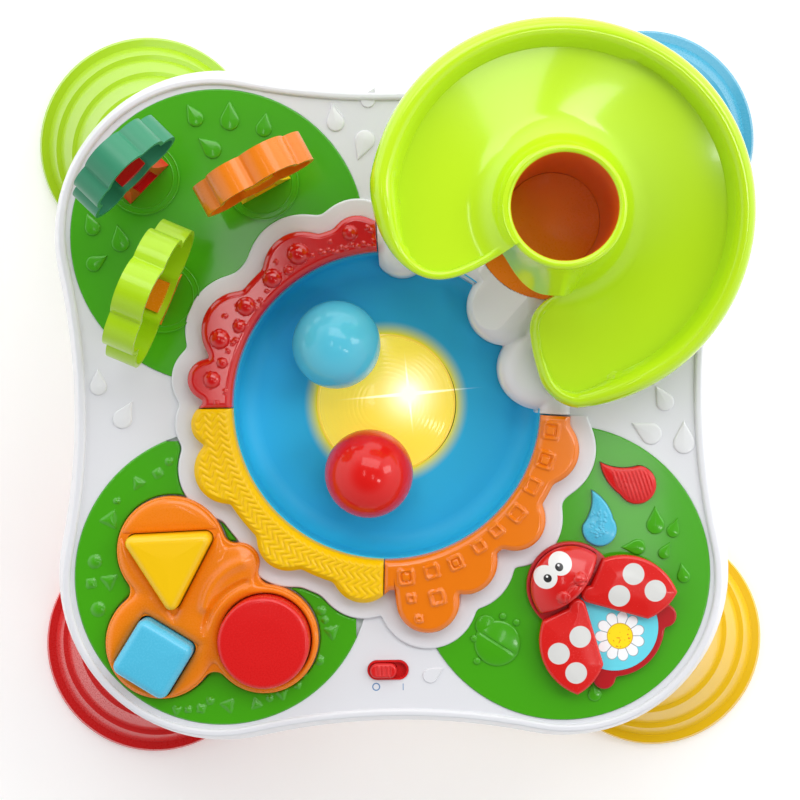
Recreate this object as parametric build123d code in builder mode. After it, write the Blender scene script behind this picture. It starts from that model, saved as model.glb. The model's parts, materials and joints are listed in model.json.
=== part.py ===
"""Toddler's activity table: a bowl with a light, a spiral ball slide, three turning trees,
a shape sorter and a ladybird with opening wings, on a four-legged deck.

Millimetres. +Z is up, the origin is on the floor under the middle of the deck, and -Y is the
side with the on/off switch.
"""

import os
from math import atan2, cos, degrees, hypot, pi, radians, sin, sqrt

from build123d import *

# Deck and casing
DECK_TOP = 300.0  # height of the play surface
DECK_WALL = 4.0  # thickness of the deck
SKIN = 3.0  # wall of the skirt and of the bottom shell
CORNER_REACH = 96.5  # middle of the table to a corner arc's centre, along X and Y
CORNER_R = 94.0  # corner arc of the skirt's lower edge
WAIST = 180.5  # half width at the hollow waist
SKIRT_FLARE = 8.5  # how far the skirt spreads below the deck
SKIRT_BAND = 5.0  # upright band at the foot of the skirt
PARTING_Z = 268.0  # joint between the top shell and the bottom shell
BASE_Z = 238.0  # underside of the bottom shell
BASE_INSET = 14.0  # how far the bottom shell draws in
BEAD_W = 4.2
BEAD_H = 2.2
BEAD_ROUND = 1.6
RIM_INSET = 1.0  # how far the bottom shell's rim lies inside the skirt
BASE_ROUND = 2.5
GAP = 0.3  # clearance between pieces that lift, press or slide
SEAT_GAP = 0.15  # clearance round pieces that are pressed or screwed in place
RUN_GAP = 0.05  # radial clearance of a turning shaft

# Bowl, light and rim ring
BOWL_X = -1.8
BOWL_Y = -0.4
BOWL_R = 83.6
BOWL_FLOOR_Z = 276.0
BOWL_WALL = 2.5
BOWL_FLANGE = 6.4
BOWL_CURVE = 11.0
LENS_R = 38.4
LENS_RISE = 6.0
LENS_WALL = 2.0
LENS_FLANGE = 3.6
RING_H = 12.0
RING_ROUND = 3.2
RING_VALLEY = 3.0  # rounding of the valleys between the lobes
BORDER = 9.3  # white border between the ring and the green panels
BORDER_H = 2.0
RING_SET_BACK = 0.7  # the ring's inner edge behind the bowl's wall
END_TRIM = 0.08  # degrees left between one ring piece and the next
BALL_R = 24.4
BALL_WALL = 2.0
BALL_ANGLES = (129.0, 254.5)  # where the two balls lie round the lens
BALL_REACH = (43.5, 38.9)

# Lobes of the rim ring, as x, y and radius
RED_LOBES = ((-16.7, 89.9, 14.2), (-47.0, 74.5, 21.3), (-80.8, 41.6, 21.9), (-99.2, 15.2, 11.4))
YELLOW_LOBES = ((-97.0, -9.4, 12.0), (-89.0, -34.3, 18.6), (-56.7, -73.1, 17.0), (-15.7, -91.2, 17.0))
ORANGE_LOBES = ((19.4, -107.7, 17.5), (39.9, -86.5, 18.0), (67.6, -63.9, 17.0), (84.5, -25.8, 19.0))
CLOUD_LOBES = ((5.7, 84.7, 14.8), (30.0, 88.0, 20.0), (61.0, 52.7, 24.1), (82.4, 18.0, 24.1))
RED_ARC = (92.5, 180.0)  # polar angles where each piece of the ring starts and ends
YELLOW_ARC = (180.0, 268.4)
ORANGE_ARC = (268.4, 356.0)
CLOUD_ARC = (-4.0, 92.5)
RING_BASE_R = 101.0  # the ring is at least this wide between its lobes
CLOUD_H = 9.0
CLOUD_ROUND = 4.0
ROUND_SHARE = 0.45  # most of the narrowest wall that an edge's rounding may take

# Green panels
PANEL_MARGIN = 4.0  # white edge left between a panel and the slope of the skirt
PANEL_SET_IN = 2.5  # how far a panel's centre lies inside the corner arc's
PANEL_T = 3.0
POCKET_DEPTH = 2.0
PANEL_ROUND = 0.8
RELIEF_H = 0.9
RELIEF_TAPER = 30.0  # slope of a relief's sides, in degrees
DROP_TAIL = 2.1  # length of a relief drop's tail, in radii
TREE_RELIEFS = ((-105.0, 159.1, 4.2, 120.0), (-86.2, 157.7, 5.0, 90.0), (-67.5, 153.0, 4.2, 80.0),
                (-95.9, 141.8, 4.6, 140.0), (-162.7, 99.7, 4.0, 110.0), (-147.4, 91.2, 4.6, 100.0),
                (-162.4, 79.8, 4.0, 30.0))
SORTER_RELIEFS = ((-159.8, -55.8, 4.0, 70.0), (-164.2, -77.9, 4.2, 90.0), (-161.5, -92.8, 3.6, 240.0),
                  (-34.5, -115.0, 3.2, 265.0), (-32.6, -130.5, 3.4, 300.0), (-37.2, -142.5, 3.4, 20.0),
                  (-47.5, -151.5, 3.2, 250.0), (-77.0, -164.5, 3.6, 10.0), (-92.0, -162.0, 3.4, 100.0))
BUTTON_RELIEFS = ((145.3, -68.5, 4.7, 90.0), (135.3, -80.5, 4.1, 180.0), (155.0, -71.9, 3.4, 70.0),
                  (149.9, -84.0, 3.2, 60.0), (160.5, -97.0, 3.4, 100.0), (110.5, -161.5, 3.4, 95.0))
BEETLE_RELIEF = ((57.3, -132.3, 12.6), (51.0, -122.5, 5.6))
DECK_RELIEFS = ((143.8, -18.3, 5.5, 150.0), (161.9, -23.6, 5.5, 90.0), (151.8, -0.8, 4.6, 120.0),
                (-148.0, -6.0, 5.0, 60.0), (-161.0, 12.0, 4.4, 90.0), (-28.0, 158.0, 4.6, 100.0),
                (-10.0, 168.0, 4.2, 60.0), (20.0, -150.0, 4.2, 30.0))

# Spiral slide
TUBE_ANGLE = 47.44  # polar angle of the tube, seen from the bowl's centre
TUBE_REACH = 50.66  # bowl's wall to the tube's centre
SLIDE_OFFSET = (4.0, -1.0)  # slide's centre from the tube's
SLIDE_R = 100.0  # outer edge of the rolled lip
TUBE_BORE_R = 26.2
TUBE_WALL = 4.2
TUBE_TOP_Z = 405.0
SLIDE_HIGH_Z = 393.0  # channel floor at the high end
SLIDE_LOW_Z = 323.0  # channel floor at the low end
SLIDE_START = 174.0  # polar angle where the high end's round tongue begins
SLIDE_END = -112.0  # polar angle where the low end's sections stop
SLIDE_STEPS = 15
SLIDE_T = 3.0
SLIDE_EASE = 0.9  # how gently the channel leaves its level ends
TONGUE_REACH = 62.0  # slide's centre to the middle of the round tongue
CHANNEL_INNER = 24.0
CHANNEL_FLOOR = (48.0, 78.0)  # radii where the level floor starts and ends
CHANNEL_EDGE = (91.0, 11.0)  # top of the outer sweep: radius, height above the floor
LIP_TOP = (95.5, 13.6)
LIP_SIDE = (10.0, 1.0)  # heights where the lip's outer side starts and ends
LIP_INSIDE = ((97.2, 1.0), (97.0, 8.6), (93.5, 8.5))
INNER_RISE = (9.0, 18.0)  # how far the channel sweeps up to the tube, high end and low end
LOW_CORNERS = ((-20.5, -39.5, 18.0), (-8.6, -100.0, 24.0))  # low end from the slide's centre, with rounding
LOW_CUT = ((-53.0, -117.5), (17.0, -117.5), (17.0, -67.5), (-3.0, -39.5), (-3.0, -31.5), (-53.0, -31.5))
TUBE_FOOT_Z = 306.0
TUBE_ROUND = 1.8
BASE_RING_R = 42.0
BASE_RING_H = 14.0
EXIT_ANGLE = 228.0
EXIT_W = 51.0
EXIT_TOP_Z = 358.0
CHUTE_HIGH_Z = 320.0  # far side of the sloping floor
CHUTE_R = TUBE_BORE_R - SEAT_GAP
BASE_RING_ROUND = 2.5
CHUTE_DIP_R = 46.0
CHUTE_SILL_Z = 305.5

# Trees: x, y, direction of the long side, trunk height, crown lobes as x, height and radius
TREE_T = 16.5
CROWN_WALL = 2.2
CROWN_BACK = 3.0
TRUNK_T = TREE_T - 2 * CROWN_BACK
TRUNK_WAIST = 9.6  # half width of the trunk half way up
TRUNK_WALL = 2.0
TRUNK_POCKET = 4.0
TANG_H = 8.0
CROWN_VALLEY = 1.0
TREE_FOOT_Z = 302.1
TRUNK_FOOT = 30.0
TRUNK_NECK = 17.0
SPINDLE_R = 4.0
SPINDLE_LEN = 17.0
TURN_DISC_R = 20.5
CLIP_R = 9.0
CLIP_T = 2.5
BUTTON_CLIP_R = 6.5
WING_CLIP_R = 4.6
WING_CLIPS = ("wing_clip_right", "wing_clip_left")
DARK_TREE = (-134.4, 126.7, 45.0, 39.0,
             ((-17, 14, 12), (17, 14, 12), (-11, 28, 12.5), (11, 28, 12.5), (0, 36, 13), (0, 18, 16)))
ORANGE_TREE = (-68.8, 123.0, 27.7, 31.0,
               ((-20, 12, 11.5), (20, 12, 11.5), (-9, 23, 13), (9, 24, 14), (0, 15, 14)))
LIME_TREE = (-124.2, 61.5, 66.5, 19.0,
             ((-22, 20, 17), (22, 20, 17), (-16, 42, 16), (16, 42, 16), (0, 52, 16), (0, 25, 23)))

# Shape sorter
SORTER_LOBES = ((-121.2, -78.4, 29.9), (-127.5, -129.2, 30.5), (-70.9, -127.6, 29.9), (-101.0, -106.0, 27.0))
SORTER_NUB = (-83.8, -85.6, 11.0)
SORTER_VALLEY = 7.0
SORTER_T = 4.5
SORTER_ROUND = 1.2
RIDGE_H = 2.6
RIDGE_W = 5.0
RIDGE_ROUND = 1.8
RIDGE_PATH = ((-82.0, -85.0), (-97.0, -95.5), (-102.5, -109.0))
BLOCK_H = 32.0
BLOCK_PROUD = 17.0  # how far a block stands out of the deck
BLOCK_ROUND = 2.0
BLOCK_CORNER = 4.0
TRIANGLE = (-121.2, -83.6, 52.5, 2.2)  # x, y, side, turn
SQUARE = (-130.8, -136.2, 34.0, -32.0)
DISC = (-70.3, -128.0, 25.2)
WELL_GAP = 0.6
WELL_WALL = 1.8
WELL_FLOOR = 2.0

# Ladybird, seen with its nose to the bowl
BUG_ANGLE = -45.0
HEAD_X = 98.0
HEAD_Y = -100.9
HEAD_STEM = (95.0, -98.0)
HEAD_BASE_Z = 304.0
HEAD_TOP_Z = 317.0
HEAD_EDGE_Z = 309.5
HEAD_ROUND = 1.5
CHEEKS = ((102.0, -95.5, 2.2), (93.1, -105.3, 2.2))
CHEEK_Z = 313.5
HEAD_R = 22.4
HEAD_REAR_R = 41.0
HEAD_REAR = 4.8
HEAD_CORNER = 2.5
HEAD_COLLAR = 2.0
BUG_X = 120.7
BUG_Y = -122.6
BUG_R = 28.5
BUG_T = 4.5
BUG_FEET = ((149.5, -118.0, 6.3), (115.5, -151.5, 6.3))
BUG_VALLEY = 2.0
BUG_ROUND = 1.2
DAISY_X = 121.5
DAISY_Y = -123.5
DAISY_R = 24.0
DAISY_T = 1.4
WING_PIVOTS = ((108.0, -105.0), (101.0, -112.0))
WING_ANGLES = (-16.0, -74.0)  # direction of each open wing
WING_EDGE = 4.7  # inner edge of a wing from its pivot
WING_POINTS = ((34.0, -4.7), (42.0, 4.0), (45.8, 13.7), (27.0, 26.0), (1.6, 20.3), (-1.0, 4.6))
WING_Z = 306.0
WING_T = 5.0
WING_ROUND = 1.6
WING_PIN_R = 3.0
WING_PIN_FOOT_Z = 292.0
DAISY_NOTCH_R = 4.0

# Buttons and switch
BUTTON_TRAVEL = 2.5
BUTTON_PROUD = 3.5
BUTTON_ROUND = 1.5
BUTTON_SPARE = 0.4  # left under a button that is pressed right down
DROP_RED = (135.3, -46.0, 10.6, 115.2, -33.2, 2.4)  # round end's centre and radius, tip, bend of the tail
DROP_BLUE = (114.4, -70.2, 9.4, 110.2, -48.6, -2.4)
STEM_R = 4.0
STEM_FOOT_Z = 286.0
RIB_PITCH = 2.6
RIB_W = 1.1
RIB_DEPTH = 0.7
RIB_TURN = -33.0
RIB_COUNT = 6
RIB_L = 13.0
DROP_TIP_R = 1.0  # rounding of a button's outline
SWITCH_X = -3.2
SWITCH_Y = -146.5
SWITCH_L = 22.6
SWITCH_W = 10.7
SWITCH_RIM = 1.0
SWITCH_RIM_Z = 300.8
SWITCH_FLOOR_Z = 298.0
SWITCH_TRAVEL = 5.0
KNOB_L = 14.8
KNOB_W = 7.9
KNOB_X = -5.7
KNOB_TOP_Z = 304.2
KNOB_ROUND = 1.6
KNOB_STEM_L = 4.0
KNOB_STEM_W = 3.0
KNOB_STEM_FOOT_Z = 290.0
SWITCH_BOX_L = 24.0
SWITCH_BOX_W = 9.0
SWITCH_BOX_H = 7.0

# Legs
FOOT_REACH = 186.0
LEG_TOP_REACH = 117.0
LEG_HOLLOW = ((0.8, 70.0), (24.6, 61.5), (46.6, 52.5), (78.6, 45.0), (122.6, 39.0), (180.0, 37.0),
              (235.0, 37.0))
LEG_BANDS = ((0.8, 78.0), (6.0, 80.0), (10.0, 79.0), (10.6, 73.5), (24.0, 69.0), (24.6, 65.5),
             (46.0, 59.0), (46.6, 56.0), (78.0, 51.0), (78.6, 48.5), (122.0, 44.5), (122.6, 42.5),
             (180.0, 40.5), (BASE_Z, 43.0))
SPIGOT_R = 30.0
SPIGOT_H = 22.0
SOCKET_WALL = 2.6
PAD_R = 3.4
PAD_T = 2.0
PADS_PER_LEG = 3
PAD_REACH = 74.0
SPIGOT_WALL = 4.0

# Works inside
BOARD_T = 1.6
BOARD_Z = 276.0
BOARD_X = 118.0
BOARD_Y = -74.0
BOARD_W = 60.0
BOARD_L = 78.0
DOME_BASE_R = 6.0
DOME_TOP_R = 3.6
DOME_H = 8.0
DOME_WALL = 0.9
LED_R = 2.5
LED_H = 5.0
LED_REACH = 16.0
LED_COUNT = 3
POST_COUNT = 3
LENS_BOARD_R = 50.0
LENS_POST_REACH = 46.0
POST_R = 3.6
BOARD_POSTS = ((100.0, -44.0), (141.0, -62.0), (92.0, -82.0))
LENS_BOARD_Z = 260.0
CELL_R = 7.2
CELL_L = 50.5
CELL_COUNT = 3
NUB_R = 2.7
NUB_L = 1.0
CONTACT_T = 0.6
CONTACT_W = 12.0
CELL_PITCH = 15.6
BATTERY_X = -10.0
BATTERY_Y = 0.0
BOX_WALL = 2.0
CONTACT_ROOM = 4.0
DOOR_T = 2.4
DOOR_LAP = 9.0
DOOR_CORNER = 4.0
SPEAKER_X = 60.0
SPEAKER_Y = 70.0
SPEAKER_R = 25.0
SPEAKER_H = 13.0
GRILLE_SLOTS = 7
GRILLE_PITCH = 5.0
GRILLE_SLOT = 2.0
GRILLE_LENGTH = 32.0
SCREW_R = 1.5
SCREW_BITE = 14.0
SCREW_SINK = 4.0
SCREW_HEAD_R = 3.2
SCREW_HEAD_T = 2.0
SCREW_LEN = 12.0
SCREW_BOSS_R = 4.6
SHELL_SCREWS = ((60, 148), (-30, 152), (60, -148), (-30, -153), (156, 30), (156, -30), (-156, 30),
                (-156, -28))

PANEL_REACH = CORNER_REACH - PANEL_SET_IN
PANEL_R = CORNER_R - SKIRT_FLARE - PANEL_MARGIN
BOWL_CENTRE = (BOWL_X, BOWL_Y)
TUBE_X = BOWL_X + (BOWL_R + TUBE_REACH) * cos(radians(TUBE_ANGLE))
TUBE_Y = BOWL_Y + (BOWL_R + TUBE_REACH) * sin(radians(TUBE_ANGLE))
SLIDE_X = TUBE_X + SLIDE_OFFSET[0]
SLIDE_Y = TUBE_Y + SLIDE_OFFSET[1]
BUTTON_BASE_Z = DECK_TOP - POCKET_DEPTH + BUTTON_TRAVEL + BUTTON_SPARE
CLOUD_EDGE = min(CLOUD_ROUND, (RING_BASE_R - BOWL_R) * ROUND_SHARE)
RING_EDGE = min(RING_ROUND, (RING_BASE_R - BOWL_R) * ROUND_SHARE)
DECK_UNDER = DECK_TOP - DECK_WALL
PANEL_TOP = DECK_TOP - POCKET_DEPTH + PANEL_T
RING_SEAT = DECK_TOP + BOWL_WALL
BOSS_FOOT_Z = BASE_Z + SCREW_SINK + SKIN
BLOCKS = ("triangle", "square", "disc")
PANEL_CORNERS = ((-1, 1), (-1, -1), (1, -1))
LEG_CORNERS = ((-1, 1), (1, 1), (-1, -1), (1, -1))
TREES = {"dark": DARK_TREE, "orange": ORANGE_TREE, "lime": LIME_TREE}
STEMS = {"head": HEAD_STEM, "red": DROP_RED[:2], "blue": DROP_BLUE[:2]}
BUG_TOP = PANEL_TOP + BUG_T
BLOCK_FOOT_Z = DECK_TOP + BLOCK_PROUD - BLOCK_H
WELL_FOOT_Z = BLOCK_FOOT_Z - GAP - WELL_FLOOR
CLIP_Z = DECK_UNDER - GAP - CLIP_T
HEAD_DOME_R = (HEAD_R**2 + (HEAD_TOP_Z - HEAD_EDGE_Z) ** 2) / (2 * (HEAD_TOP_Z - HEAD_EDGE_Z))
LENS_ARC_R = (LENS_R**2 + LENS_RISE**2) / (2 * LENS_RISE)
LENS_ARC_Z = BOWL_FLOOR_Z + LENS_RISE - LENS_ARC_R
LENS_SEAT_Z = BOWL_FLOOR_Z - BOWL_WALL - LENS_WALL
LENS_POST_L = BOWL_FLOOR_Z - BOWL_WALL - LENS_BOARD_Z - BOARD_T
BOX_L = CELL_L + 2 * CONTACT_ROOM
BOX_W = CELL_COUNT * CELL_PITCH + 1.0
BOX_H = DOOR_T + 2 * CELL_R + 2 * GAP
DOOR_L = BOX_L + 2 * DOOR_LAP
DOOR_W = BOX_W + 2 * DOOR_LAP
DOOR_CENTRE = (BATTERY_X, BATTERY_Y)
DOOR_SCREW = (BATTERY_X, BATTERY_Y + BOX_W / 2 + DOOR_LAP - SCREW_BOSS_R)
LENS_POSTS = tuple(
    tuple(Vector(BOWL_X, BOWL_Y) + Vector(LENS_POST_REACH, 0).rotate(Axis.Z, 360 * step / POST_COUNT))[:2]
    for step in range(POST_COUNT)
)
EXIT_PLANE = Plane(
    (TUBE_X, TUBE_Y, 0),
    x_dir=(-sin(radians(EXIT_ANGLE)), cos(radians(EXIT_ANGLE)), 0),
    z_dir=(cos(radians(EXIT_ANGLE)), sin(radians(EXIT_ANGLE)), 0),
)


def table_outline(inset=0.0):
    """Four corner arcs joined by four hollow waist arcs, every arc tangent to the next."""
    waist_r = ((WAIST - CORNER_REACH) ** 2 + CORNER_REACH**2 - CORNER_R**2) / (
        2 * (CORNER_R + CORNER_REACH - WAIST)
    )
    lean = degrees(atan2(-CORNER_REACH, WAIST + waist_r - CORNER_REACH))
    reach = Vector(CORNER_R - inset, 0)
    with BuildSketch() as outline:
        with BuildLine():
            for turn in (0, 90, 180, 270):
                corner = Vector(CORNER_REACH, CORNER_REACH).rotate(Axis.Z, turn)
                next_corner = corner.rotate(Axis.Z, 90)
                last = corner + reach.rotate(Axis.Z, turn + 90 - lean)
                middle = corner + reach.rotate(Axis.Z, turn + 45)
                ThreePointArc(corner + reach.rotate(Axis.Z, turn + lean), middle, last)
                waist = Vector(WAIST - inset, 0).rotate(Axis.Z, turn + 90)
                ThreePointArc(last, waist, next_corner + reach.rotate(Axis.Z, turn + 90 + lean))
        make_face()
    return outline.sketch


def wedge(start, end, radius):
    """A pie slice about the bowl's centre, between two polar angles."""
    first, middle, last = (
        Vector(BOWL_X, BOWL_Y) + Vector(radius, 0).rotate(Axis.Z, angle)
        for angle in (start, (start + end) / 2, end)
    )
    with BuildSketch() as pie:
        with BuildLine():
            Line(BOWL_CENTRE, first)
            ThreePointArc(first, middle, last)
            Line(last, BOWL_CENTRE)
        make_face()
    return pie.sketch


def lobed(lobes, valley, base_r=0.0):
    """Overlapping circles with their valleys rounded, over a round base."""
    with BuildSketch() as shape:
        for x, y, radius in lobes:
            with Locations((x, y)):
                Circle(radius)
        if base_r:
            with Locations(BOWL_CENTRE):
                Circle(base_r)
        offset(amount=valley, kind=Kind.ARC)
        offset(amount=-valley, kind=Kind.ARC)
    return shape.sketch


def spread_sketch(sketch, amount):
    """A sketch grown outwards by a margin, its corners rounded."""
    with BuildSketch() as shape:
        add(sketch)
        offset(amount=amount, kind=Kind.ARC)
    return shape.sketch


def panel_outline(side_x, side_y, shrink=0.0):
    """A corner disc bitten into by the white border round the bowl."""
    with BuildSketch() as shape:
        with Locations((side_x * PANEL_REACH, side_y * PANEL_REACH)):
            Circle(PANEL_R - shrink)
        add(spread_sketch(RING, BORDER + shrink), mode=Mode.SUBTRACT)
    return shape.sketch


def drop_outline(drop, spread=0.0):
    """A round end drawn out to a pointed tail."""
    x, y, radius, tip_x, tip_y, bend = drop
    centre = Vector(x, y)
    tip = Vector(tip_x, tip_y)
    turn = degrees(atan2(tip_y - y, tip_x - x))
    reach = hypot(tip_x - x, tip_y - y)
    side = degrees(atan2(sqrt(reach**2 - radius**2), radius))
    first = centre + Vector(radius, 0).rotate(Axis.Z, turn + side)
    last = centre + Vector(radius, 0).rotate(Axis.Z, turn - side)
    with BuildSketch() as shape:
        with BuildLine():
            ThreePointArc(first, centre - Vector(radius, 0).rotate(Axis.Z, turn), last)
            if bend:
                sag = Vector(bend, 0).rotate(Axis.Z, turn + 90)
                ThreePointArc(last, (last + tip) / 2 + sag, tip)
                ThreePointArc(tip, (tip + first) / 2 + sag, first)
            else:
                Line(last, tip)
                Line(tip, first)
        make_face()
        if spread:
            offset(amount=spread, kind=Kind.ARC)
    return shape.sketch


def relief(x, y, radius, turn):
    """A small drop with a straight tail."""
    tip = Vector(x, y) + Vector(radius * DROP_TAIL, 0).rotate(Axis.Z, turn)
    return drop_outline((x, y, radius, tip.X, tip.Y, 0))


def block_outline(name, spread=0.0):
    """Outline of a sorter block, with rounded corners."""
    with BuildSketch() as shape:
        if name == "triangle":
            x, y, side, turn = TRIANGLE
            with Locations(Location((x, y, 0), turn - 90)):
                RegularPolygon(radius=side / sqrt(3), side_count=3)
            fillet(shape.vertices(), radius=BLOCK_CORNER)
        elif name == "square":
            x, y, side, turn = SQUARE
            with Locations(Location((x, y, 0), turn)):
                RectangleRounded(side, side, BLOCK_CORNER)
        else:
            x, y, radius = DISC
            with Locations((x, y)):
                Circle(radius)
        if spread:
            offset(amount=spread, kind=Kind.ARC)
    return shape.sketch


def head_outline(spread=0.0):
    """A round head cut off behind by a wide arc."""
    rear_centre = Vector(HEAD_X, HEAD_Y) + Vector(HEAD_REAR - HEAD_REAR_R, 0).rotate(Axis.Z, BUG_ANGLE)
    with BuildSketch() as shape:
        with Locations((HEAD_X, HEAD_Y)):
            Circle(HEAD_R + spread)
        with Locations(rear_centre):
            Circle(HEAD_REAR_R + spread, mode=Mode.INTERSECT)
        fillet(shape.vertices(), radius=HEAD_CORNER + spread)
    return shape.sketch


def bug_outline():
    """The ladybird's round body with two small feet behind and a collar round the head."""
    with BuildSketch() as shape:
        for x, y, radius in ((BUG_X, BUG_Y, BUG_R), (HEAD_X, HEAD_Y, HEAD_R + HEAD_COLLAR)) + BUG_FEET:
            with Locations((x, y)):
                Circle(radius)
        corners = [v for v in shape.vertices() if abs(hypot(v.X - BUG_X, v.Y - BUG_Y) - BUG_R) < 0.01]
        fillet(corners, radius=BUG_VALLEY)
    return shape.sketch


def wing_outline():
    """A wing along X from its pivot: straight inner edge, pointed tip and a full outer curve."""
    with BuildSketch() as shape:
        with BuildLine():
            Line((0, -WING_EDGE), WING_POINTS[0])
            ThreePointArc(*WING_POINTS[:3])
            ThreePointArc(*WING_POINTS[2:5])
            Polyline(WING_POINTS[4], WING_POINTS[5], (0, -WING_EDGE))
        make_face()
        Circle(WING_EDGE)
    return shape.sketch


def channel_section(step, half=False):
    """The slide's cross-section at a step from its high end (0) to its low end (1)."""
    angle = SLIDE_START + (SLIDE_END - SLIDE_START) * step
    ease = step - SLIDE_EASE * sin(2 * pi * step) / (2 * pi)
    floor = SLIDE_HIGH_Z + (SLIDE_LOW_Z - SLIDE_HIGH_Z) * ease
    rise = INNER_RISE[0] + (INNER_RISE[1] - INNER_RISE[0]) * ease
    outward = Vector(1, 0, 0).rotate(Axis.Z, angle)
    plane = Plane((SLIDE_X, SLIDE_Y, floor), x_dir=outward, z_dir=outward.rotate(Axis.Z, -90))
    first, last = CHANNEL_FLOOR
    with BuildSketch(plane) as section:
        with BuildLine():
            if half:
                Polyline((last, -SLIDE_T), (TONGUE_REACH, -SLIDE_T), (TONGUE_REACH, 0), (last, 0))
            else:
                Polyline((last, -SLIDE_T), (CHANNEL_INNER, -SLIDE_T), (CHANNEL_INNER, rise))
                TangentArc((first, 0), (CHANNEL_INNER, rise), tangent=(-1, 0))
                Line((first, 0), (last, 0))
            TangentArc((last, 0), CHANNEL_EDGE, tangent=(1, 0))
            ThreePointArc(CHANNEL_EDGE, LIP_TOP, (SLIDE_R, LIP_SIDE[0]))
            Polyline((SLIDE_R, LIP_SIDE[0]), (SLIDE_R, LIP_SIDE[1]), *LIP_INSIDE)
            TangentArc((last, -SLIDE_T), LIP_INSIDE[-1], tangent=(1, 0))
        make_face()
    return section.sketch


def low_end_outline():
    """What is kept at the slide's low end, from the slide's centre, with its two corners rounded."""
    (inner_x, inner_y, _), (outer_x, outer_y, _) = LOW_CORNERS
    with BuildSketch() as kept:
        Polygon((inner_x, inner_y), (outer_x, outer_y), (SLIDE_R, outer_y), (SLIDE_R, inner_y), align=None)
        for corner_x, corner_y, rounding in LOW_CORNERS:
            fillet(kept.vertices().sort_by_distance((corner_x, corner_y))[0], radius=rounding)
    return kept.sketch


def leg_disc(height, radius, side_x, side_y):
    """A round face across a leg, at a height."""
    reach = FOOT_REACH + (LEG_TOP_REACH - FOOT_REACH) * height / BASE_Z
    with BuildSketch() as disc:
        Circle(radius)
    return disc.sketch.face().moved(Location((side_x * reach, side_y * reach, height)))


def pad_places(side_x, side_y):
    """Where the pads sit round the rim of a foot."""
    centre = Vector(side_x * FOOT_REACH, side_y * FOOT_REACH)
    outward = Vector(side_x, side_y).normalized() * PAD_REACH
    return [centre + outward.rotate(Axis.Z, 360 * step / PADS_PER_LEG) for step in range(PADS_PER_LEG)]


def raised(sketch, height):
    """The face of a flat sketch, lifted to a height."""
    return sketch.face().moved(Location((0, 0, height)))


def save(builder, name):
    """Label a finished piece and write it to its own file."""
    builder.part.label = name
    export_step(builder.part, f"parts/{name}.step")


os.makedirs("parts", exist_ok=True)
RING = lobed(RED_LOBES + YELLOW_LOBES + ORANGE_LOBES, RING_VALLEY, RING_BASE_R)
BORDER_OUTLINE = spread_sketch(RING, BORDER)
SORTER = lobed(SORTER_LOBES + (SORTER_NUB,), SORTER_VALLEY)
with BuildSketch() as clouds:
    with Locations(BOWL_CENTRE):
        Circle(RING_BASE_R)
        Circle(BOWL_R, mode=Mode.SUBTRACT)
    for lobe_x, lobe_y, lobe_r in CLOUD_LOBES:
        with Locations((lobe_x, lobe_y)):
            Circle(lobe_r)
    offset(amount=RING_VALLEY, kind=Kind.ARC)
    offset(amount=-RING_VALLEY, kind=Kind.ARC)
CLOUDS = clouds.sketch


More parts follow.
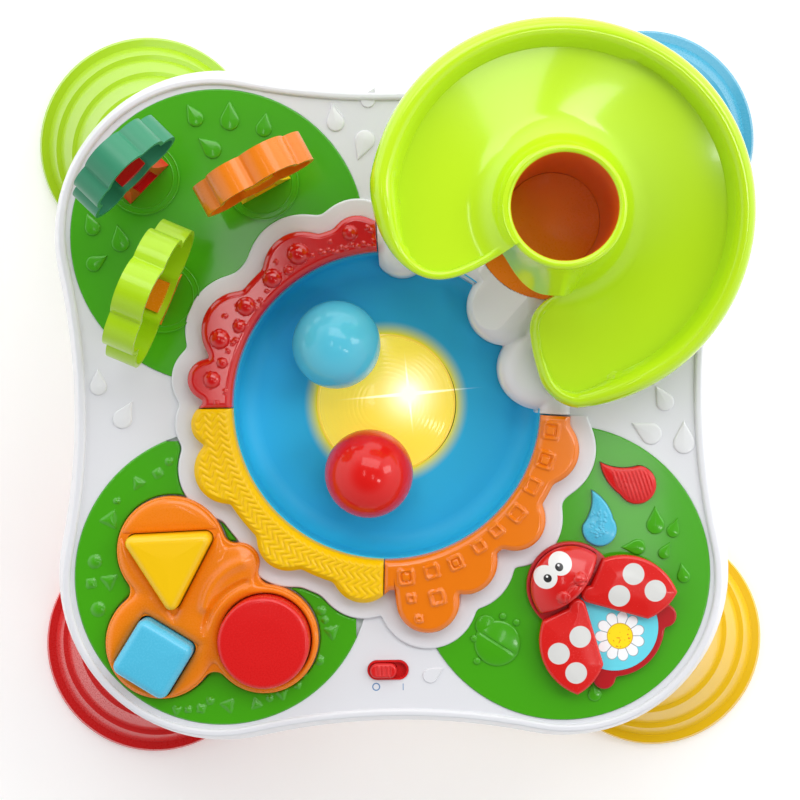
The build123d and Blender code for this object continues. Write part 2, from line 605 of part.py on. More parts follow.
# Top shell: flared skirt, deck, bead and the raised border round the ring
with BuildPart() as tabletop_shell:
    with BuildSketch(Plane.XY.offset(PARTING_Z)):
        add(table_outline())
    extrude(amount=SKIRT_BAND)
    loft(
        sections=[
            raised(table_outline(), PARTING_Z + SKIRT_BAND),
            raised(table_outline(SKIRT_FLARE), DECK_TOP),
        ],
        ruled=True,
    )
    loft(
        sections=[
            raised(table_outline(SKIN), PARTING_Z),
            raised(table_outline(SKIN + SKIRT_FLARE), DECK_UNDER),
        ],
        ruled=True,
        mode=Mode.SUBTRACT,
    )
    with BuildSketch(Plane.XY.offset(DECK_TOP)):
        add(table_outline(SKIRT_FLARE))
        add(table_outline(SKIRT_FLARE + BEAD_W), mode=Mode.SUBTRACT)
    extrude(amount=BEAD_H)
    fillet(tabletop_shell.faces().filter_by(Axis.Z).sort_by(Axis.Z)[-1].edges(), radius=BEAD_ROUND)
    with BuildSketch(Plane.XY.offset(DECK_TOP)):
        add(BORDER_OUTLINE)
        add(spread_sketch(RING, SEAT_GAP), mode=Mode.SUBTRACT)
        add(wedge(*CLOUD_ARC, 2 * PANEL_R), mode=Mode.SUBTRACT)
    extrude(amount=BORDER_H)
    with BuildSketch(Plane.XY.offset(PANEL_TOP)):
        add(spread_sketch(SORTER, GAP))
        add(spread_sketch(bug_outline(), GAP))
        add(head_outline(2 * GAP))
    extrude(amount=BORDER_H, mode=Mode.SUBTRACT)
    with BuildSketch(Plane.XY.offset(DECK_TOP)):
        for drop in DECK_RELIEFS:
            add(relief(*drop))
    extrude(amount=RELIEF_H, taper=RELIEF_TAPER)
    for side_x, side_y in PANEL_CORNERS:
        with BuildSketch(Plane.XY.offset(DECK_TOP - POCKET_DEPTH)):
            add(panel_outline(side_x, side_y))
        extrude(amount=POCKET_DEPTH + BEAD_H, mode=Mode.SUBTRACT)
    with BuildSketch(Plane.XY.offset(DECK_UNDER)):
        for x, y in SHELL_SCREWS:
            with Locations((x, y)):
                Circle(SCREW_BOSS_R)
    extrude(amount=BOSS_FOOT_Z - DECK_UNDER)
    with BuildSketch(Plane.XY.offset(DECK_UNDER)):
        for x, y in BOARD_POSTS:
            with Locations((x, y)):
                Circle(POST_R)
    extrude(amount=BOARD_Z + BOARD_T - DECK_UNDER)
    with BuildSketch(Plane.XY.offset(DECK_UNDER)):
        with Locations(BOWL_CENTRE):
            Circle(BOWL_R + BOWL_WALL + GAP)
        for name in BLOCKS:
            add(block_outline(name, WELL_GAP + WELL_WALL + GAP))
        for x, y, *_ in TREES.values():
            with Locations((x, y)):
                Circle(SPINDLE_R + RUN_GAP)
        for x, y in STEMS.values():
            with Locations((x, y)):
                Circle(STEM_R + GAP)
        for x, y in WING_PIVOTS:
            with Locations((x, y)):
                Circle(WING_PIN_R + RUN_GAP)
        with Locations((SWITCH_X, SWITCH_Y)):
            SlotOverall(SWITCH_L + 2 * SEAT_GAP, SWITCH_W + 2 * SEAT_GAP)
    extrude(amount=DECK_WALL + BORDER_H, mode=Mode.SUBTRACT)
    with BuildSketch(Plane.XY.offset(BOSS_FOOT_Z)):
        for x, y in SHELL_SCREWS:
            with Locations((x, y)):
                Circle(SCREW_R + RUN_GAP)
    extrude(amount=SCREW_BITE, mode=Mode.SUBTRACT)
    with BuildSketch(Plane.XY.offset(BOARD_Z + BOARD_T)):
        for x, y in BOARD_POSTS:
            with Locations((x, y)):
                Circle(SCREW_R + RUN_GAP)
    extrude(amount=SCREW_BITE, mode=Mode.SUBTRACT)
save(tabletop_shell, "tabletop_shell")

# Bottom shell: tray with leg sockets, screw towers, battery box and speaker grille
with BuildPart() as bottom_shell:
    loft(
        sections=[raised(table_outline(BASE_INSET), BASE_Z), raised(table_outline(RIM_INSET), PARTING_Z)],
        ruled=True,
    )
    fillet(bottom_shell.faces().sort_by(Axis.Z)[0].edges(), radius=BASE_ROUND)
    loft(
        sections=[
            raised(table_outline(BASE_INSET + SKIN), BASE_Z + SKIN),
            raised(table_outline(RIM_INSET + SKIN), PARTING_Z),
        ],
        ruled=True,
        mode=Mode.SUBTRACT,
    )
    with BuildSketch(Plane.XY.offset(BASE_Z)):
        for x, y in LEG_CORNERS:
            with Locations((x * LEG_TOP_REACH, y * LEG_TOP_REACH)):
                Circle(SPIGOT_R + GAP + SOCKET_WALL)
    extrude(amount=SPIGOT_H + GAP + SOCKET_WALL)
    with BuildSketch(Plane.XY.offset(BASE_Z)):
        for x, y in LEG_CORNERS:
            with Locations((x * LEG_TOP_REACH, y * LEG_TOP_REACH)):
                Circle(SPIGOT_R + GAP)
    extrude(amount=SPIGOT_H + GAP, mode=Mode.SUBTRACT)
    with BuildSketch(Plane.XY.offset(BASE_Z)):
        for x, y in SHELL_SCREWS:
            with Locations((x, y)):
                Circle(SCREW_BOSS_R + SKIN)
        with Locations((BATTERY_X, BATTERY_Y)):
            RectangleRounded(BOX_L + 2 * BOX_WALL, BOX_W + 2 * BOX_WALL, BOX_WALL)
    extrude(amount=BOSS_FOOT_Z - BASE_Z)
    with BuildSketch(Plane.XY.offset(BASE_Z)):
        with Locations((BATTERY_X, BATTERY_Y)):
            Rectangle(BOX_L + 2 * BOX_WALL, BOX_W + 2 * BOX_WALL)
        with Locations(DOOR_SCREW):
            Circle(SCREW_BOSS_R)
    extrude(amount=BOX_H + BOX_WALL)
    with BuildSketch(Plane.XY.offset(BASE_Z)):
        with Locations((BATTERY_X, BATTERY_Y)):
            Rectangle(BOX_L, BOX_W)
    extrude(amount=BOX_H, mode=Mode.SUBTRACT)
    with BuildSketch(Plane.XY.offset(BASE_Z)):
        with Locations(DOOR_CENTRE):
            RectangleRounded(DOOR_L + 2 * GAP, DOOR_W + 2 * GAP, DOOR_CORNER)
    extrude(amount=DOOR_T, mode=Mode.SUBTRACT)
    with BuildSketch(Plane.XY.offset(BASE_Z)):
        for x, y in SHELL_SCREWS:
            with Locations((x, y)):
                Circle(SCREW_HEAD_R + GAP)
    extrude(amount=SCREW_SINK, mode=Mode.SUBTRACT)
    with BuildSketch(Plane.XY.offset(BASE_Z)):
        for x, y in SHELL_SCREWS + (DOOR_SCREW,):
            with Locations((x, y)):
                Circle(SCREW_R + RUN_GAP)
    extrude(amount=BOX_H, mode=Mode.SUBTRACT)
    with BuildSketch(Plane.XY.offset(BASE_Z + SKIN)):
        with Locations((SPEAKER_X, SPEAKER_Y)):
            Circle(SPEAKER_R + SEAT_GAP + BOX_WALL)
            Circle(SPEAKER_R + SEAT_GAP, mode=Mode.SUBTRACT)
    extrude(amount=SPEAKER_H / 2)
    with BuildSketch(Plane.XY.offset(BASE_Z)):
        with Locations((SPEAKER_X, SPEAKER_Y)):
            with GridLocations(0, GRILLE_PITCH, 1, GRILLE_SLOTS):
                SlotOverall(GRILLE_LENGTH, GRILLE_SLOT, align=(Align.CENTER, Align.CENTER))
    extrude(amount=SKIN, mode=Mode.SUBTRACT)
save(bottom_shell, "bottom_shell")

# Bowl: flat floor, curved corner, upright wall, resting flange and posts for the lamp board
with BuildPart() as basin:
    with BuildSketch(Plane((BOWL_X, BOWL_Y, 0), x_dir=(1, 0, 0), z_dir=(0, -1, 0))):
        with BuildLine():
            Polyline(
                (LENS_R + GAP, BOWL_FLOOR_Z - BOWL_WALL),
                (LENS_R + GAP, BOWL_FLOOR_Z),
                (BOWL_R, BOWL_FLOOR_Z),
                (BOWL_R, RING_SEAT),
                (BOWL_R + BOWL_FLANGE, RING_SEAT),
                (BOWL_R + BOWL_FLANGE, DECK_TOP),
                (BOWL_R + BOWL_WALL, DECK_TOP),
                (BOWL_R + BOWL_WALL, BOWL_FLOOR_Z - BOWL_WALL),
                close=True,
            )
        make_face()
    revolve(axis=Axis((BOWL_X, BOWL_Y, 0), (0, 0, 1)))
    floor_edges = basin.edges().filter_by(GeomType.CIRCLE)
    inner = floor_edges.filter_by(lambda e: abs(e.radius - BOWL_R) < 0.01).sort_by(Axis.Z)[0]
    fillet(inner, radius=BOWL_CURVE)
    outer = basin.edges().filter_by(GeomType.CIRCLE).filter_by(
        lambda e: abs(e.radius - BOWL_R - BOWL_WALL) < 0.01
    ).sort_by(Axis.Z)[0]
    fillet(outer, radius=BOWL_CURVE + BOWL_WALL)
    with BuildSketch(Plane.XY.offset(BOWL_FLOOR_Z - BOWL_WALL)):
        with Locations(BOWL_CENTRE):
            with PolarLocations(LENS_POST_REACH, POST_COUNT):
                Circle(POST_R)
    extrude(amount=-LENS_POST_L)
    with BuildSketch(Plane.XY.offset(LENS_BOARD_Z + BOARD_T)):
        for place in LENS_POSTS:
            with Locations(place):
                Circle(SCREW_R + RUN_GAP)
    extrude(amount=LENS_POST_L, mode=Mode.SUBTRACT)
save(basin, "basin")

# Light lens: a shallow dome with a flange under the bowl's floor
with BuildPart() as light_dome:
    with BuildSketch(Plane((BOWL_X, BOWL_Y, 0), x_dir=(1, 0, 0), z_dir=(0, -1, 0))):
        with BuildLine():
            rim_z = BOWL_FLOOR_Z
            crown = ThreePointArc(
                (LENS_R, rim_z),
                (LENS_R / 2, LENS_ARC_Z + sqrt(LENS_ARC_R**2 - LENS_R**2 / 4)),
                (0, rim_z + LENS_RISE),
            )
            Polyline(
                (0, rim_z + LENS_RISE),
                (0, rim_z + LENS_RISE - LENS_WALL),
                (LENS_R - LENS_WALL, rim_z - LENS_WALL),
                (LENS_R - LENS_WALL, LENS_SEAT_Z),
                (LENS_R + LENS_FLANGE, LENS_SEAT_Z),
                (LENS_R + LENS_FLANGE, LENS_SEAT_Z + LENS_WALL),
                (LENS_R, LENS_SEAT_Z + LENS_WALL),
                (LENS_R, rim_z),
            )
        make_face()
    revolve(axis=Axis((BOWL_X, BOWL_Y, 0), (0, 0, 1)))
save(light_dome, "light_dome")

# Balls: hollow, resting on the bowl's floor against the lens
for name, angle, reach in zip(("ball_blue", "ball_red"), BALL_ANGLES, BALL_REACH):
    on_lens = LENS_ARC_Z + sqrt((LENS_ARC_R + BALL_R + GAP) ** 2 - reach**2)
    height = max(BOWL_FLOOR_Z + BALL_R + GAP, on_lens)
    with BuildPart() as ball:
        place = Vector(BOWL_X, BOWL_Y, height) + Vector(reach, 0).rotate(Axis.Z, angle)
        with Locations(place):
            Sphere(BALL_R)
            Sphere(BALL_R - BALL_WALL, mode=Mode.SUBTRACT)
    save(ball, name)

# Lobed ring round the bowl, in three colours
for name, arc in (("ring_red", RED_ARC), ("ring_yellow", YELLOW_ARC), ("ring_orange", ORANGE_ARC)):
    with BuildPart() as ring_piece:
        with BuildSketch(Plane.XY.offset(DECK_TOP)):
            add(RING)
            with Locations(BOWL_CENTRE):
                Circle(BOWL_R + RING_SET_BACK, mode=Mode.SUBTRACT)
        extrude(amount=RING_H)
        fillet(ring_piece.faces().sort_by(Axis.Z)[-1].edges(), radius=RING_EDGE)
        with BuildSketch(Plane.XY.offset(DECK_TOP)):
            add(wedge(arc[0] + END_TRIM, arc[1] - END_TRIM, 2 * PANEL_R))
        extrude(amount=RING_H, mode=Mode.INTERSECT)
        with BuildSketch(Plane.XY.offset(DECK_TOP)):
            with Locations(BOWL_CENTRE):
                Circle(BOWL_R + BOWL_FLANGE + GAP)
        extrude(amount=BOWL_WALL, mode=Mode.SUBTRACT)
    save(ring_piece, name)

# White clouds: they stand on the deck and reach down into the bowl, with a dip for the ball
with BuildPart() as cloud_rim:
    with BuildSketch(Plane.XY.offset(BOWL_FLOOR_Z)):
        add(CLOUDS)
    extrude(amount=DECK_TOP + CLOUD_H - BOWL_FLOOR_Z)
    fillet(cloud_rim.faces().sort_by(Axis.Z)[-1].edges(), radius=CLOUD_EDGE)
    with BuildSketch(Plane.XY.offset(BOWL_FLOOR_Z)):
        add(wedge(CLOUD_ARC[0] + END_TRIM, CLOUD_ARC[1] - END_TRIM, 2 * PANEL_R))
        with Locations((TUBE_X, TUBE_Y)):
            Circle(BASE_RING_R + SEAT_GAP, mode=Mode.SUBTRACT)
    extrude(amount=DECK_TOP + CLOUD_H - BOWL_FLOOR_Z, mode=Mode.INTERSECT)
    with BuildSketch(Plane((BOWL_X, BOWL_Y, 0), x_dir=(1, 0, 0), z_dir=(0, -1, 0))):
        with BuildLine():
            corner = BOWL_R - BOWL_CURVE
            wall_foot = (BOWL_R - GAP, BOWL_FLOOR_Z + BOWL_CURVE)
            middle = (corner + (BOWL_CURVE - GAP) / sqrt(2), wall_foot[1] - (BOWL_CURVE - GAP) / sqrt(2))
            Polyline(
                (corner, BOWL_FLOOR_Z + GAP),
                (0, BOWL_FLOOR_Z + GAP),
                (0, BOWL_FLOOR_Z - BOWL_WALL),
                (2 * PANEL_R, BOWL_FLOOR_Z - BOWL_WALL),
                (2 * PANEL_R, DECK_TOP),
                (BOWL_R + BOWL_FLANGE + GAP, DECK_TOP),
                (BOWL_R + BOWL_FLANGE + GAP, RING_SEAT),
                (BOWL_R - GAP, RING_SEAT),
                wall_foot,
            )
            ThreePointArc(wall_foot, middle, (corner, BOWL_FLOOR_Z + GAP))
        make_face()
    revolve(axis=Axis((BOWL_X, BOWL_Y, 0), (0, 0, 1)), mode=Mode.SUBTRACT)
    with BuildSketch(EXIT_PLANE):
        with Locations((0, CHUTE_SILL_Z + CHUTE_DIP_R)):
            Circle(CHUTE_DIP_R)
    extrude(amount=2 * PANEL_R, mode=Mode.SUBTRACT)
save(cloud_rim, "cloud_rim")

# Green panels, with low drop-shaped reliefs
PANEL_RELIEFS = {"tree_panel": TREE_RELIEFS, "sorter_panel": SORTER_RELIEFS, "button_panel": BUTTON_RELIEFS}
for name, (side_x, side_y) in zip(PANEL_RELIEFS, PANEL_CORNERS):
    with BuildPart() as panel:
        with BuildSketch(Plane.XY.offset(DECK_TOP - POCKET_DEPTH)):
            add(panel_outline(side_x, side_y, SEAT_GAP))
        extrude(amount=PANEL_T)
        fillet(panel.faces().sort_by(Axis.Z)[-1].edges(), radius=PANEL_ROUND)
        with BuildSketch(Plane.XY.offset(PANEL_TOP)):
            for drop in PANEL_RELIEFS[name]:
                add(relief(*drop))
            if name == "button_panel":
                for x, y, radius in BEETLE_RELIEF:
                    with Locations((x, y)):
                        Circle(radius)
        extrude(amount=RELIEF_H, taper=RELIEF_TAPER)
        if name == "tree_panel":
            with BuildSketch(Plane.XY.offset(PANEL_TOP)):
                for x, y, *_ in TREES.values():
                    with Locations((x, y)):
                        Circle(TURN_DISC_R)
                add(panel_outline(side_x, side_y, SEAT_GAP + PANEL_ROUND), mode=Mode.INTERSECT)
            extrude(amount=RELIEF_H)
        with BuildSketch(Plane.XY.offset(DECK_TOP - POCKET_DEPTH)):
            for x, y, *_ in TREES.values():
                with Locations((x, y)):
                    Circle(SPINDLE_R + RUN_GAP)
            for block in BLOCKS:
                add(block_outline(block, WELL_GAP + WELL_WALL + GAP))
            add(drop_outline(DROP_RED, GAP))
            add(drop_outline(DROP_BLUE, GAP))
            with Locations(HEAD_STEM):
                Circle(STEM_R + GAP)
            for x, y in WING_PIVOTS:
                with Locations((x, y)):
                    Circle(WING_PIN_R + RUN_GAP)
        extrude(amount=PANEL_T + RELIEF_H, mode=Mode.SUBTRACT)
    save(panel, name)

# Trees: flared trunk with its spindle, and a hollow-faced crown pushed down over the trunk's head
for colour, (tree_x, tree_y, turn, trunk_h, lobes) in TREES.items():
    along = Vector(1, 0, 0).rotate(Axis.Z, turn)
    middle_plane = Plane((tree_x, tree_y, TREE_FOOT_Z), x_dir=along, z_dir=along.rotate(Axis.Z, -90))
    neck_z = trunk_h + TANG_H
    with BuildPart() as trunk:
        with BuildSketch(middle_plane.offset(-TRUNK_T / 2)):
            with BuildLine():
                Line((-TRUNK_FOOT / 2, 0), (TRUNK_FOOT / 2, 0))
                ThreePointArc((TRUNK_FOOT / 2, 0), (TRUNK_WAIST, trunk_h / 2), (TRUNK_NECK / 2, trunk_h))
                Polyline(
                    (TRUNK_NECK / 2, trunk_h),
                    (TRUNK_NECK / 2, neck_z),
                    (-TRUNK_NECK / 2, neck_z),
                    (-TRUNK_NECK / 2, trunk_h),
                )
                ThreePointArc((-TRUNK_NECK / 2, trunk_h), (-TRUNK_WAIST, trunk_h / 2), (-TRUNK_FOOT / 2, 0))
            make_face()
        extrude(amount=TRUNK_T)
        with BuildSketch(middle_plane.offset(TRUNK_T / 2)):
            with Locations((0, TRUNK_WALL)):
                Rectangle(
                    TRUNK_NECK - 2 * TRUNK_WALL, trunk_h - 2 * TRUNK_WALL, align=(Align.CENTER, Align.MIN)
                )
        extrude(amount=-TRUNK_POCKET, mode=Mode.SUBTRACT)
        with BuildSketch(Plane.XY.offset(TREE_FOOT_Z)):
            with Locations((tree_x, tree_y)):
                Circle(SPINDLE_R)
        extrude(amount=-SPINDLE_LEN)
    save(trunk, f"trunk_{colour}")
    raised_lobes = tuple((x, z + trunk_h, radius) for x, z, radius in lobes)
    with BuildPart() as crown:
        with BuildSketch(middle_plane.offset(-TREE_T / 2)):
            add(lobed(raised_lobes, CROWN_VALLEY))
        extrude(amount=TREE_T)
        with BuildSketch(middle_plane.offset(CROWN_BACK - TREE_T / 2)):
            add(spread_sketch(lobed(raised_lobes, CROWN_VALLEY), -CROWN_WALL))
        extrude(amount=TREE_T, mode=Mode.SUBTRACT)
        with BuildSketch(middle_plane.offset(-TRUNK_T / 2)):
            Rectangle(TRUNK_NECK + 2 * SEAT_GAP, neck_z + SEAT_GAP, align=(Align.CENTER, Align.MIN))
        extrude(amount=TRUNK_T, mode=Mode.SUBTRACT)
    save(crown, f"crown_{colour}")

# Clips that hold the turning and pressing shafts from under the deck
SHAFTS = {f"clip_{colour}": (tree[0], tree[1], SPINDLE_R, CLIP_R) for colour, tree in TREES.items()}
SHAFTS |= {f"clip_{name}": (*STEMS[name], STEM_R, BUTTON_CLIP_R) for name in STEMS}
SHAFTS |= {name: (*pivot, WING_PIN_R, WING_CLIP_R) for name, pivot in zip(WING_CLIPS, WING_PIVOTS)}
for name, (x, y, shaft_r, clip_r) in SHAFTS.items():
    with BuildPart() as clip:
        with BuildSketch(Plane.XY.offset(CLIP_Z)):
            with Locations((x, y)):
                Circle(clip_r)
                Circle(shaft_r + RUN_GAP, mode=Mode.SUBTRACT)
        extrude(amount=CLIP_T)
    save(clip, name)

# Sorter plate: lobed top with a rounded ridge, and three wells that hang below it
with BuildPart() as sorter_plate:
    with BuildSketch(Plane.XY.offset(PANEL_TOP)):
        add(SORTER)
    extrude(amount=SORTER_T)
    fillet(sorter_plate.faces().sort_by(Axis.Z)[-1].edges(), radius=SORTER_ROUND)
    with BuildSketch(Plane.XY.offset(PANEL_TOP + SORTER_T)):
        with BuildLine() as ridge_line:
            ThreePointArc(*RIDGE_PATH)
        SlotArc(ridge_line.wire(), RIDGE_W)
    extrude(amount=RIDGE_H)
    fillet(sorter_plate.faces().sort_by(Axis.Z)[-1].edges(), radius=RIDGE_ROUND)
    with BuildSketch(Plane.XY.offset(WELL_FOOT_Z)):
        for name in BLOCKS:
            add(block_outline(name, WELL_GAP + WELL_WALL))
    extrude(amount=PANEL_TOP - WELL_FOOT_Z)
    with BuildSketch(Plane.XY.offset(WELL_FOOT_Z + WELL_FLOOR)):
        for name in BLOCKS:
            add(block_outline(name, WELL_GAP))
    extrude(amount=BLOCK_H, mode=Mode.SUBTRACT)
save(sorter_plate, "sorter_plate")

# Blocks that drop into the wells
for name in BLOCKS:
    with BuildPart() as block:
        with BuildSketch(Plane.XY.offset(BLOCK_FOOT_Z)):
            add(block_outline(name))
        extrude(amount=BLOCK_H)
        fillet(block.faces().filter_by(Axis.Z).edges(), radius=BLOCK_ROUND)
    save(block, f"block_{name}")

# Ladybird: body with a recess for the daisy, a through hole for the head and bores for the wing pins
with BuildPart() as ladybird_body:
    with BuildSketch(Plane.XY.offset(PANEL_TOP)):
        add(bug_outline())
    extrude(amount=BUG_T)
    fillet(ladybird_body.faces().sort_by(Axis.Z)[-1].edges(), radius=BUG_ROUND)
    with BuildSketch(Plane.XY.offset(BUG_TOP - DAISY_T)):
        with Locations((DAISY_X, DAISY_Y)):
            Circle(DAISY_R + SEAT_GAP)
        for x, y in WING_PIVOTS:
            with Locations((x, y)):
                Circle(DAISY_NOTCH_R - SEAT_GAP, mode=Mode.SUBTRACT)
    extrude(amount=BUG_T, mode=Mode.SUBTRACT)
    with BuildSketch(Plane.XY.offset(PANEL_TOP)):
        add(head_outline(GAP))
        for x, y in WING_PIVOTS:
            with Locations((x, y)):
                Circle(WING_PIN_R + RUN_GAP)
    extrude(amount=BUG_T, mode=Mode.SUBTRACT)
save(ladybird_body, "ladybird_body")

# Printed daisy disc under the wings
with BuildPart() as daisy_disc:
    with BuildSketch(Plane.XY.offset(BUG_TOP - DAISY_T)):
        with Locations((DAISY_X, DAISY_Y)):
            Circle(DAISY_R)
        for x, y in WING_PIVOTS:
            with Locations((x, y)):
                Circle(DAISY_NOTCH_R, mode=Mode.SUBTRACT)
    extrude(amount=DAISY_T)
save(daisy_disc, "daisy_disc")

# Head: domed cap on a stem, pressed down against its dome switch
with BuildPart() as ladybird_head:
    with BuildSketch(Plane.XY.offset(HEAD_BASE_Z)):
        add(head_outline())
    extrude(amount=HEAD_TOP_Z - HEAD_BASE_Z)
    with Locations((HEAD_X, HEAD_Y, HEAD_TOP_Z - HEAD_DOME_R)):
        Sphere(HEAD_DOME_R, mode=Mode.INTERSECT)
    fillet(ladybird_head.faces().sort_by(Axis.Z)[-1].edges(), radius=HEAD_ROUND)
    for x, y, radius in CHEEKS:
        with Locations((x, y, CHEEK_Z)):
            Sphere(radius)
    with BuildSketch(Plane.XY.offset(STEM_FOOT_Z)):
        with Locations(HEAD_STEM):
            Circle(STEM_R)
    extrude(amount=HEAD_BASE_Z - STEM_FOOT_Z)
save(ladybird_head, "ladybird_head")

# Wings: turned out from the body, each on its own pin
for name, pivot, angle, side in zip(("wing_right", "wing_left"), WING_PIVOTS, WING_ANGLES, (1, -1)):
    along = Vector(1, 0, 0).rotate(Axis.Z, angle)
    with BuildPart() as wing:
        with BuildSketch(Plane((*pivot, WING_Z + WING_T / 2), x_dir=along, z_dir=(0, 0, side))):
            add(wing_outline())
        extrude(amount=WING_T / 2, both=True)
        fillet(wing.faces().sort_by(Axis.Z)[-1].edges(), radius=WING_ROUND)
        with BuildSketch(Plane.XY.offset(WING_PIN_FOOT_Z)):
            with Locations(pivot):
                Circle(WING_PIN_R)
        extrude(amount=WING_Z - WING_PIN_FOOT_Z)
    save(wing, name)

# Drop-shaped buttons on their stems; the red one is ribbed across
for name, drop in (("button_red", DROP_RED), ("button_blue", DROP_BLUE)):
    with BuildPart() as button:
        with BuildSketch(Plane.XY.offset(BUTTON_BASE_Z)):
            add(drop_outline(drop, -DROP_TIP_R))
            offset(amount=DROP_TIP_R, kind=Kind.ARC)
        extrude(amount=PANEL_TOP + BUTTON_PROUD - BUTTON_BASE_Z)
        fillet(button.faces().sort_by(Axis.Z)[-1].edges(), radius=BUTTON_ROUND)
        if name == "button_red":
            with BuildSketch(Plane.XY.offset(PANEL_TOP + BUTTON_PROUD)):
                with Locations(Location((drop[0], drop[1], 0), RIB_TURN)):
                    with GridLocations(RIB_PITCH, 0, RIB_COUNT, 1):
                        SlotOverall(RIB_L, RIB_W, rotation=90)
            extrude(amount=-RIB_DEPTH, mode=Mode.SUBTRACT)
        with BuildSketch(Plane.XY.offset(STEM_FOOT_Z)):
            with Locations(drop[:2]):
                Circle(STEM_R)
        extrude(amount=BUTTON_BASE_Z - STEM_FOOT_Z)
    save(button, name)

# On/off switch: oval seat, sliding knob and the electric switch below
with BuildPart() as switch_bezel:
    with BuildSketch(Plane.XY.offset(DECK_UNDER)):
        with Locations((SWITCH_X, SWITCH_Y)):
            SlotOverall(SWITCH_L, SWITCH_W)
    extrude(amount=SWITCH_RIM_Z - DECK_UNDER)
    with BuildSketch(Plane.XY.offset(SWITCH_FLOOR_Z)):
        with Locations((SWITCH_X, SWITCH_Y)):
            SlotOverall(SWITCH_L - 2 * SWITCH_RIM, SWITCH_W - 2 * SWITCH_RIM)
    extrude(amount=SWITCH_RIM_Z - SWITCH_FLOOR_Z, mode=Mode.SUBTRACT)
    with BuildSketch(Plane.XY.offset(DECK_UNDER)):
        with Locations((KNOB_X + SWITCH_TRAVEL / 2, SWITCH_Y)):
            Rectangle(KNOB_STEM_L + SWITCH_TRAVEL + 2 * GAP, KNOB_STEM_W + 2 * GAP)
    extrude(amount=SWITCH_FLOOR_Z - DECK_UNDER, mode=Mode.SUBTRACT)
save(switch_bezel, "switch_bezel")

with BuildPart() as switch_knob:
    with BuildSketch(Plane.XY.offset(SWITCH_FLOOR_Z + GAP)):
        with Locations((KNOB_X, SWITCH_Y)):
            SlotOverall(KNOB_L, KNOB_W)
    extrude(amount=KNOB_TOP_Z - SWITCH_FLOOR_Z - GAP)
    fillet(switch_knob.faces().sort_by(Axis.Z)[-1].edges(), radius=KNOB_ROUND)
    with BuildSketch(Plane.XY.offset(KNOB_STEM_FOOT_Z)):
        with Locations((KNOB_X, SWITCH_Y)):
            Rectangle(KNOB_STEM_L, KNOB_STEM_W)
    extrude(amount=SWITCH_FLOOR_Z + GAP - KNOB_STEM_FOOT_Z)
save(switch_knob, "switch_knob")

with BuildPart() as slide_switch:
    with BuildSketch(Plane.XY.offset(KNOB_STEM_FOOT_Z - GAP)):
        with Locations((SWITCH_X, SWITCH_Y)):
            Rectangle(SWITCH_BOX_L, SWITCH_BOX_W)
    extrude(amount=-SWITCH_BOX_H)
save(slide_switch, "slide_switch")

# Slide: a falling channel round an upright tube, with a round tongue at the high end
with BuildPart() as slide:
    loft(sections=[channel_section(step / (SLIDE_STEPS - 1)).face() for step in range(SLIDE_STEPS)])
    with BuildSketch(Plane((SLIDE_X, SLIDE_Y, DECK_TOP))):
        Polygon(*LOW_CUT, align=None)
        add(low_end_outline(), mode=Mode.SUBTRACT)
    extrude(amount=SLIDE_R, mode=Mode.SUBTRACT)
    add(channel_section(0, half=True))
    tongue = Vector(SLIDE_X, SLIDE_Y) + Vector(TONGUE_REACH, 0).rotate(Axis.Z, SLIDE_START)
    revolve(axis=Axis(tongue, (0, 0, 1)), revolution_arc=180)
    with BuildSketch(Plane((TUBE_X, TUBE_Y, TUBE_FOOT_Z), x_dir=(1, 0, 0), z_dir=(0, -1, 0))) as wall:
        with Locations((TUBE_BORE_R, 0)):
            Rectangle(TUBE_WALL, TUBE_TOP_Z - TUBE_FOOT_Z, align=Align.MIN)
        fillet(wall.vertices().group_by(Axis.Y)[-1], radius=TUBE_ROUND)
    revolve(axis=Axis((TUBE_X, TUBE_Y, 0), (0, 0, 1)))
    with BuildSketch(Plane.XY.offset(TUBE_FOOT_Z)):
        with Locations((TUBE_X, TUBE_Y)):
            Circle(TUBE_BORE_R)
    extrude(amount=SLIDE_R, mode=Mode.SUBTRACT)
    with BuildSketch(EXIT_PLANE):
        with Locations((0, TUBE_FOOT_Z)):
            Rectangle(EXIT_W, EXIT_TOP_Z - TUBE_FOOT_Z, align=(Align.CENTER, Align.MIN))
    extrude(amount=TUBE_BORE_R + 2 * TUBE_WALL, mode=Mode.SUBTRACT)
save(slide, "slide")

# Chute under the tube: base ring and a floor that slopes down to the bowl
with BuildPart() as exit_chute:
    with BuildSketch(Plane.XY.offset(DECK_TOP)):
        with Locations((TUBE_X, TUBE_Y)):
            Circle(BASE_RING_R)
    extrude(amount=BASE_RING_H)
    fillet(exit_chute.faces().sort_by(Axis.Z)[-1].edges(), radius=BASE_RING_ROUND)
    with BuildSketch(Plane.XY.offset(TUBE_FOOT_Z)):
        with Locations((TUBE_X, TUBE_Y)):
            Circle(TUBE_BORE_R + TUBE_WALL + SEAT_GAP)
    extrude(amount=BASE_RING_H, mode=Mode.SUBTRACT)
    with BuildSketch(EXIT_PLANE):
        with Locations((0, TUBE_FOOT_Z)):
            Rectangle(EXIT_W, BASE_RING_H, align=(Align.CENTER, Align.MIN))
    extrude(amount=2 * BASE_RING_R, mode=Mode.SUBTRACT)
    with BuildSketch(Plane.XY.offset(TUBE_FOOT_Z)):
        with Locations((TUBE_X, TUBE_Y)):
            Circle(CHUTE_R)
    extrude(amount=CHUTE_HIGH_Z - TUBE_FOOT_Z)
    with BuildSketch(Plane((TUBE_X, TUBE_Y, 0), x_dir=EXIT_PLANE.z_dir, z_dir=-EXIT_PLANE.x_dir)):
        Polygon((-CHUTE_R, CHUTE_HIGH_Z), (CHUTE_R, TUBE_FOOT_Z), (CHUTE_R, CHUTE_HIGH_Z), align=None)
    extrude(amount=CHUTE_R, both=True, mode=Mode.SUBTRACT)
save(exit_chute, "exit_chute")

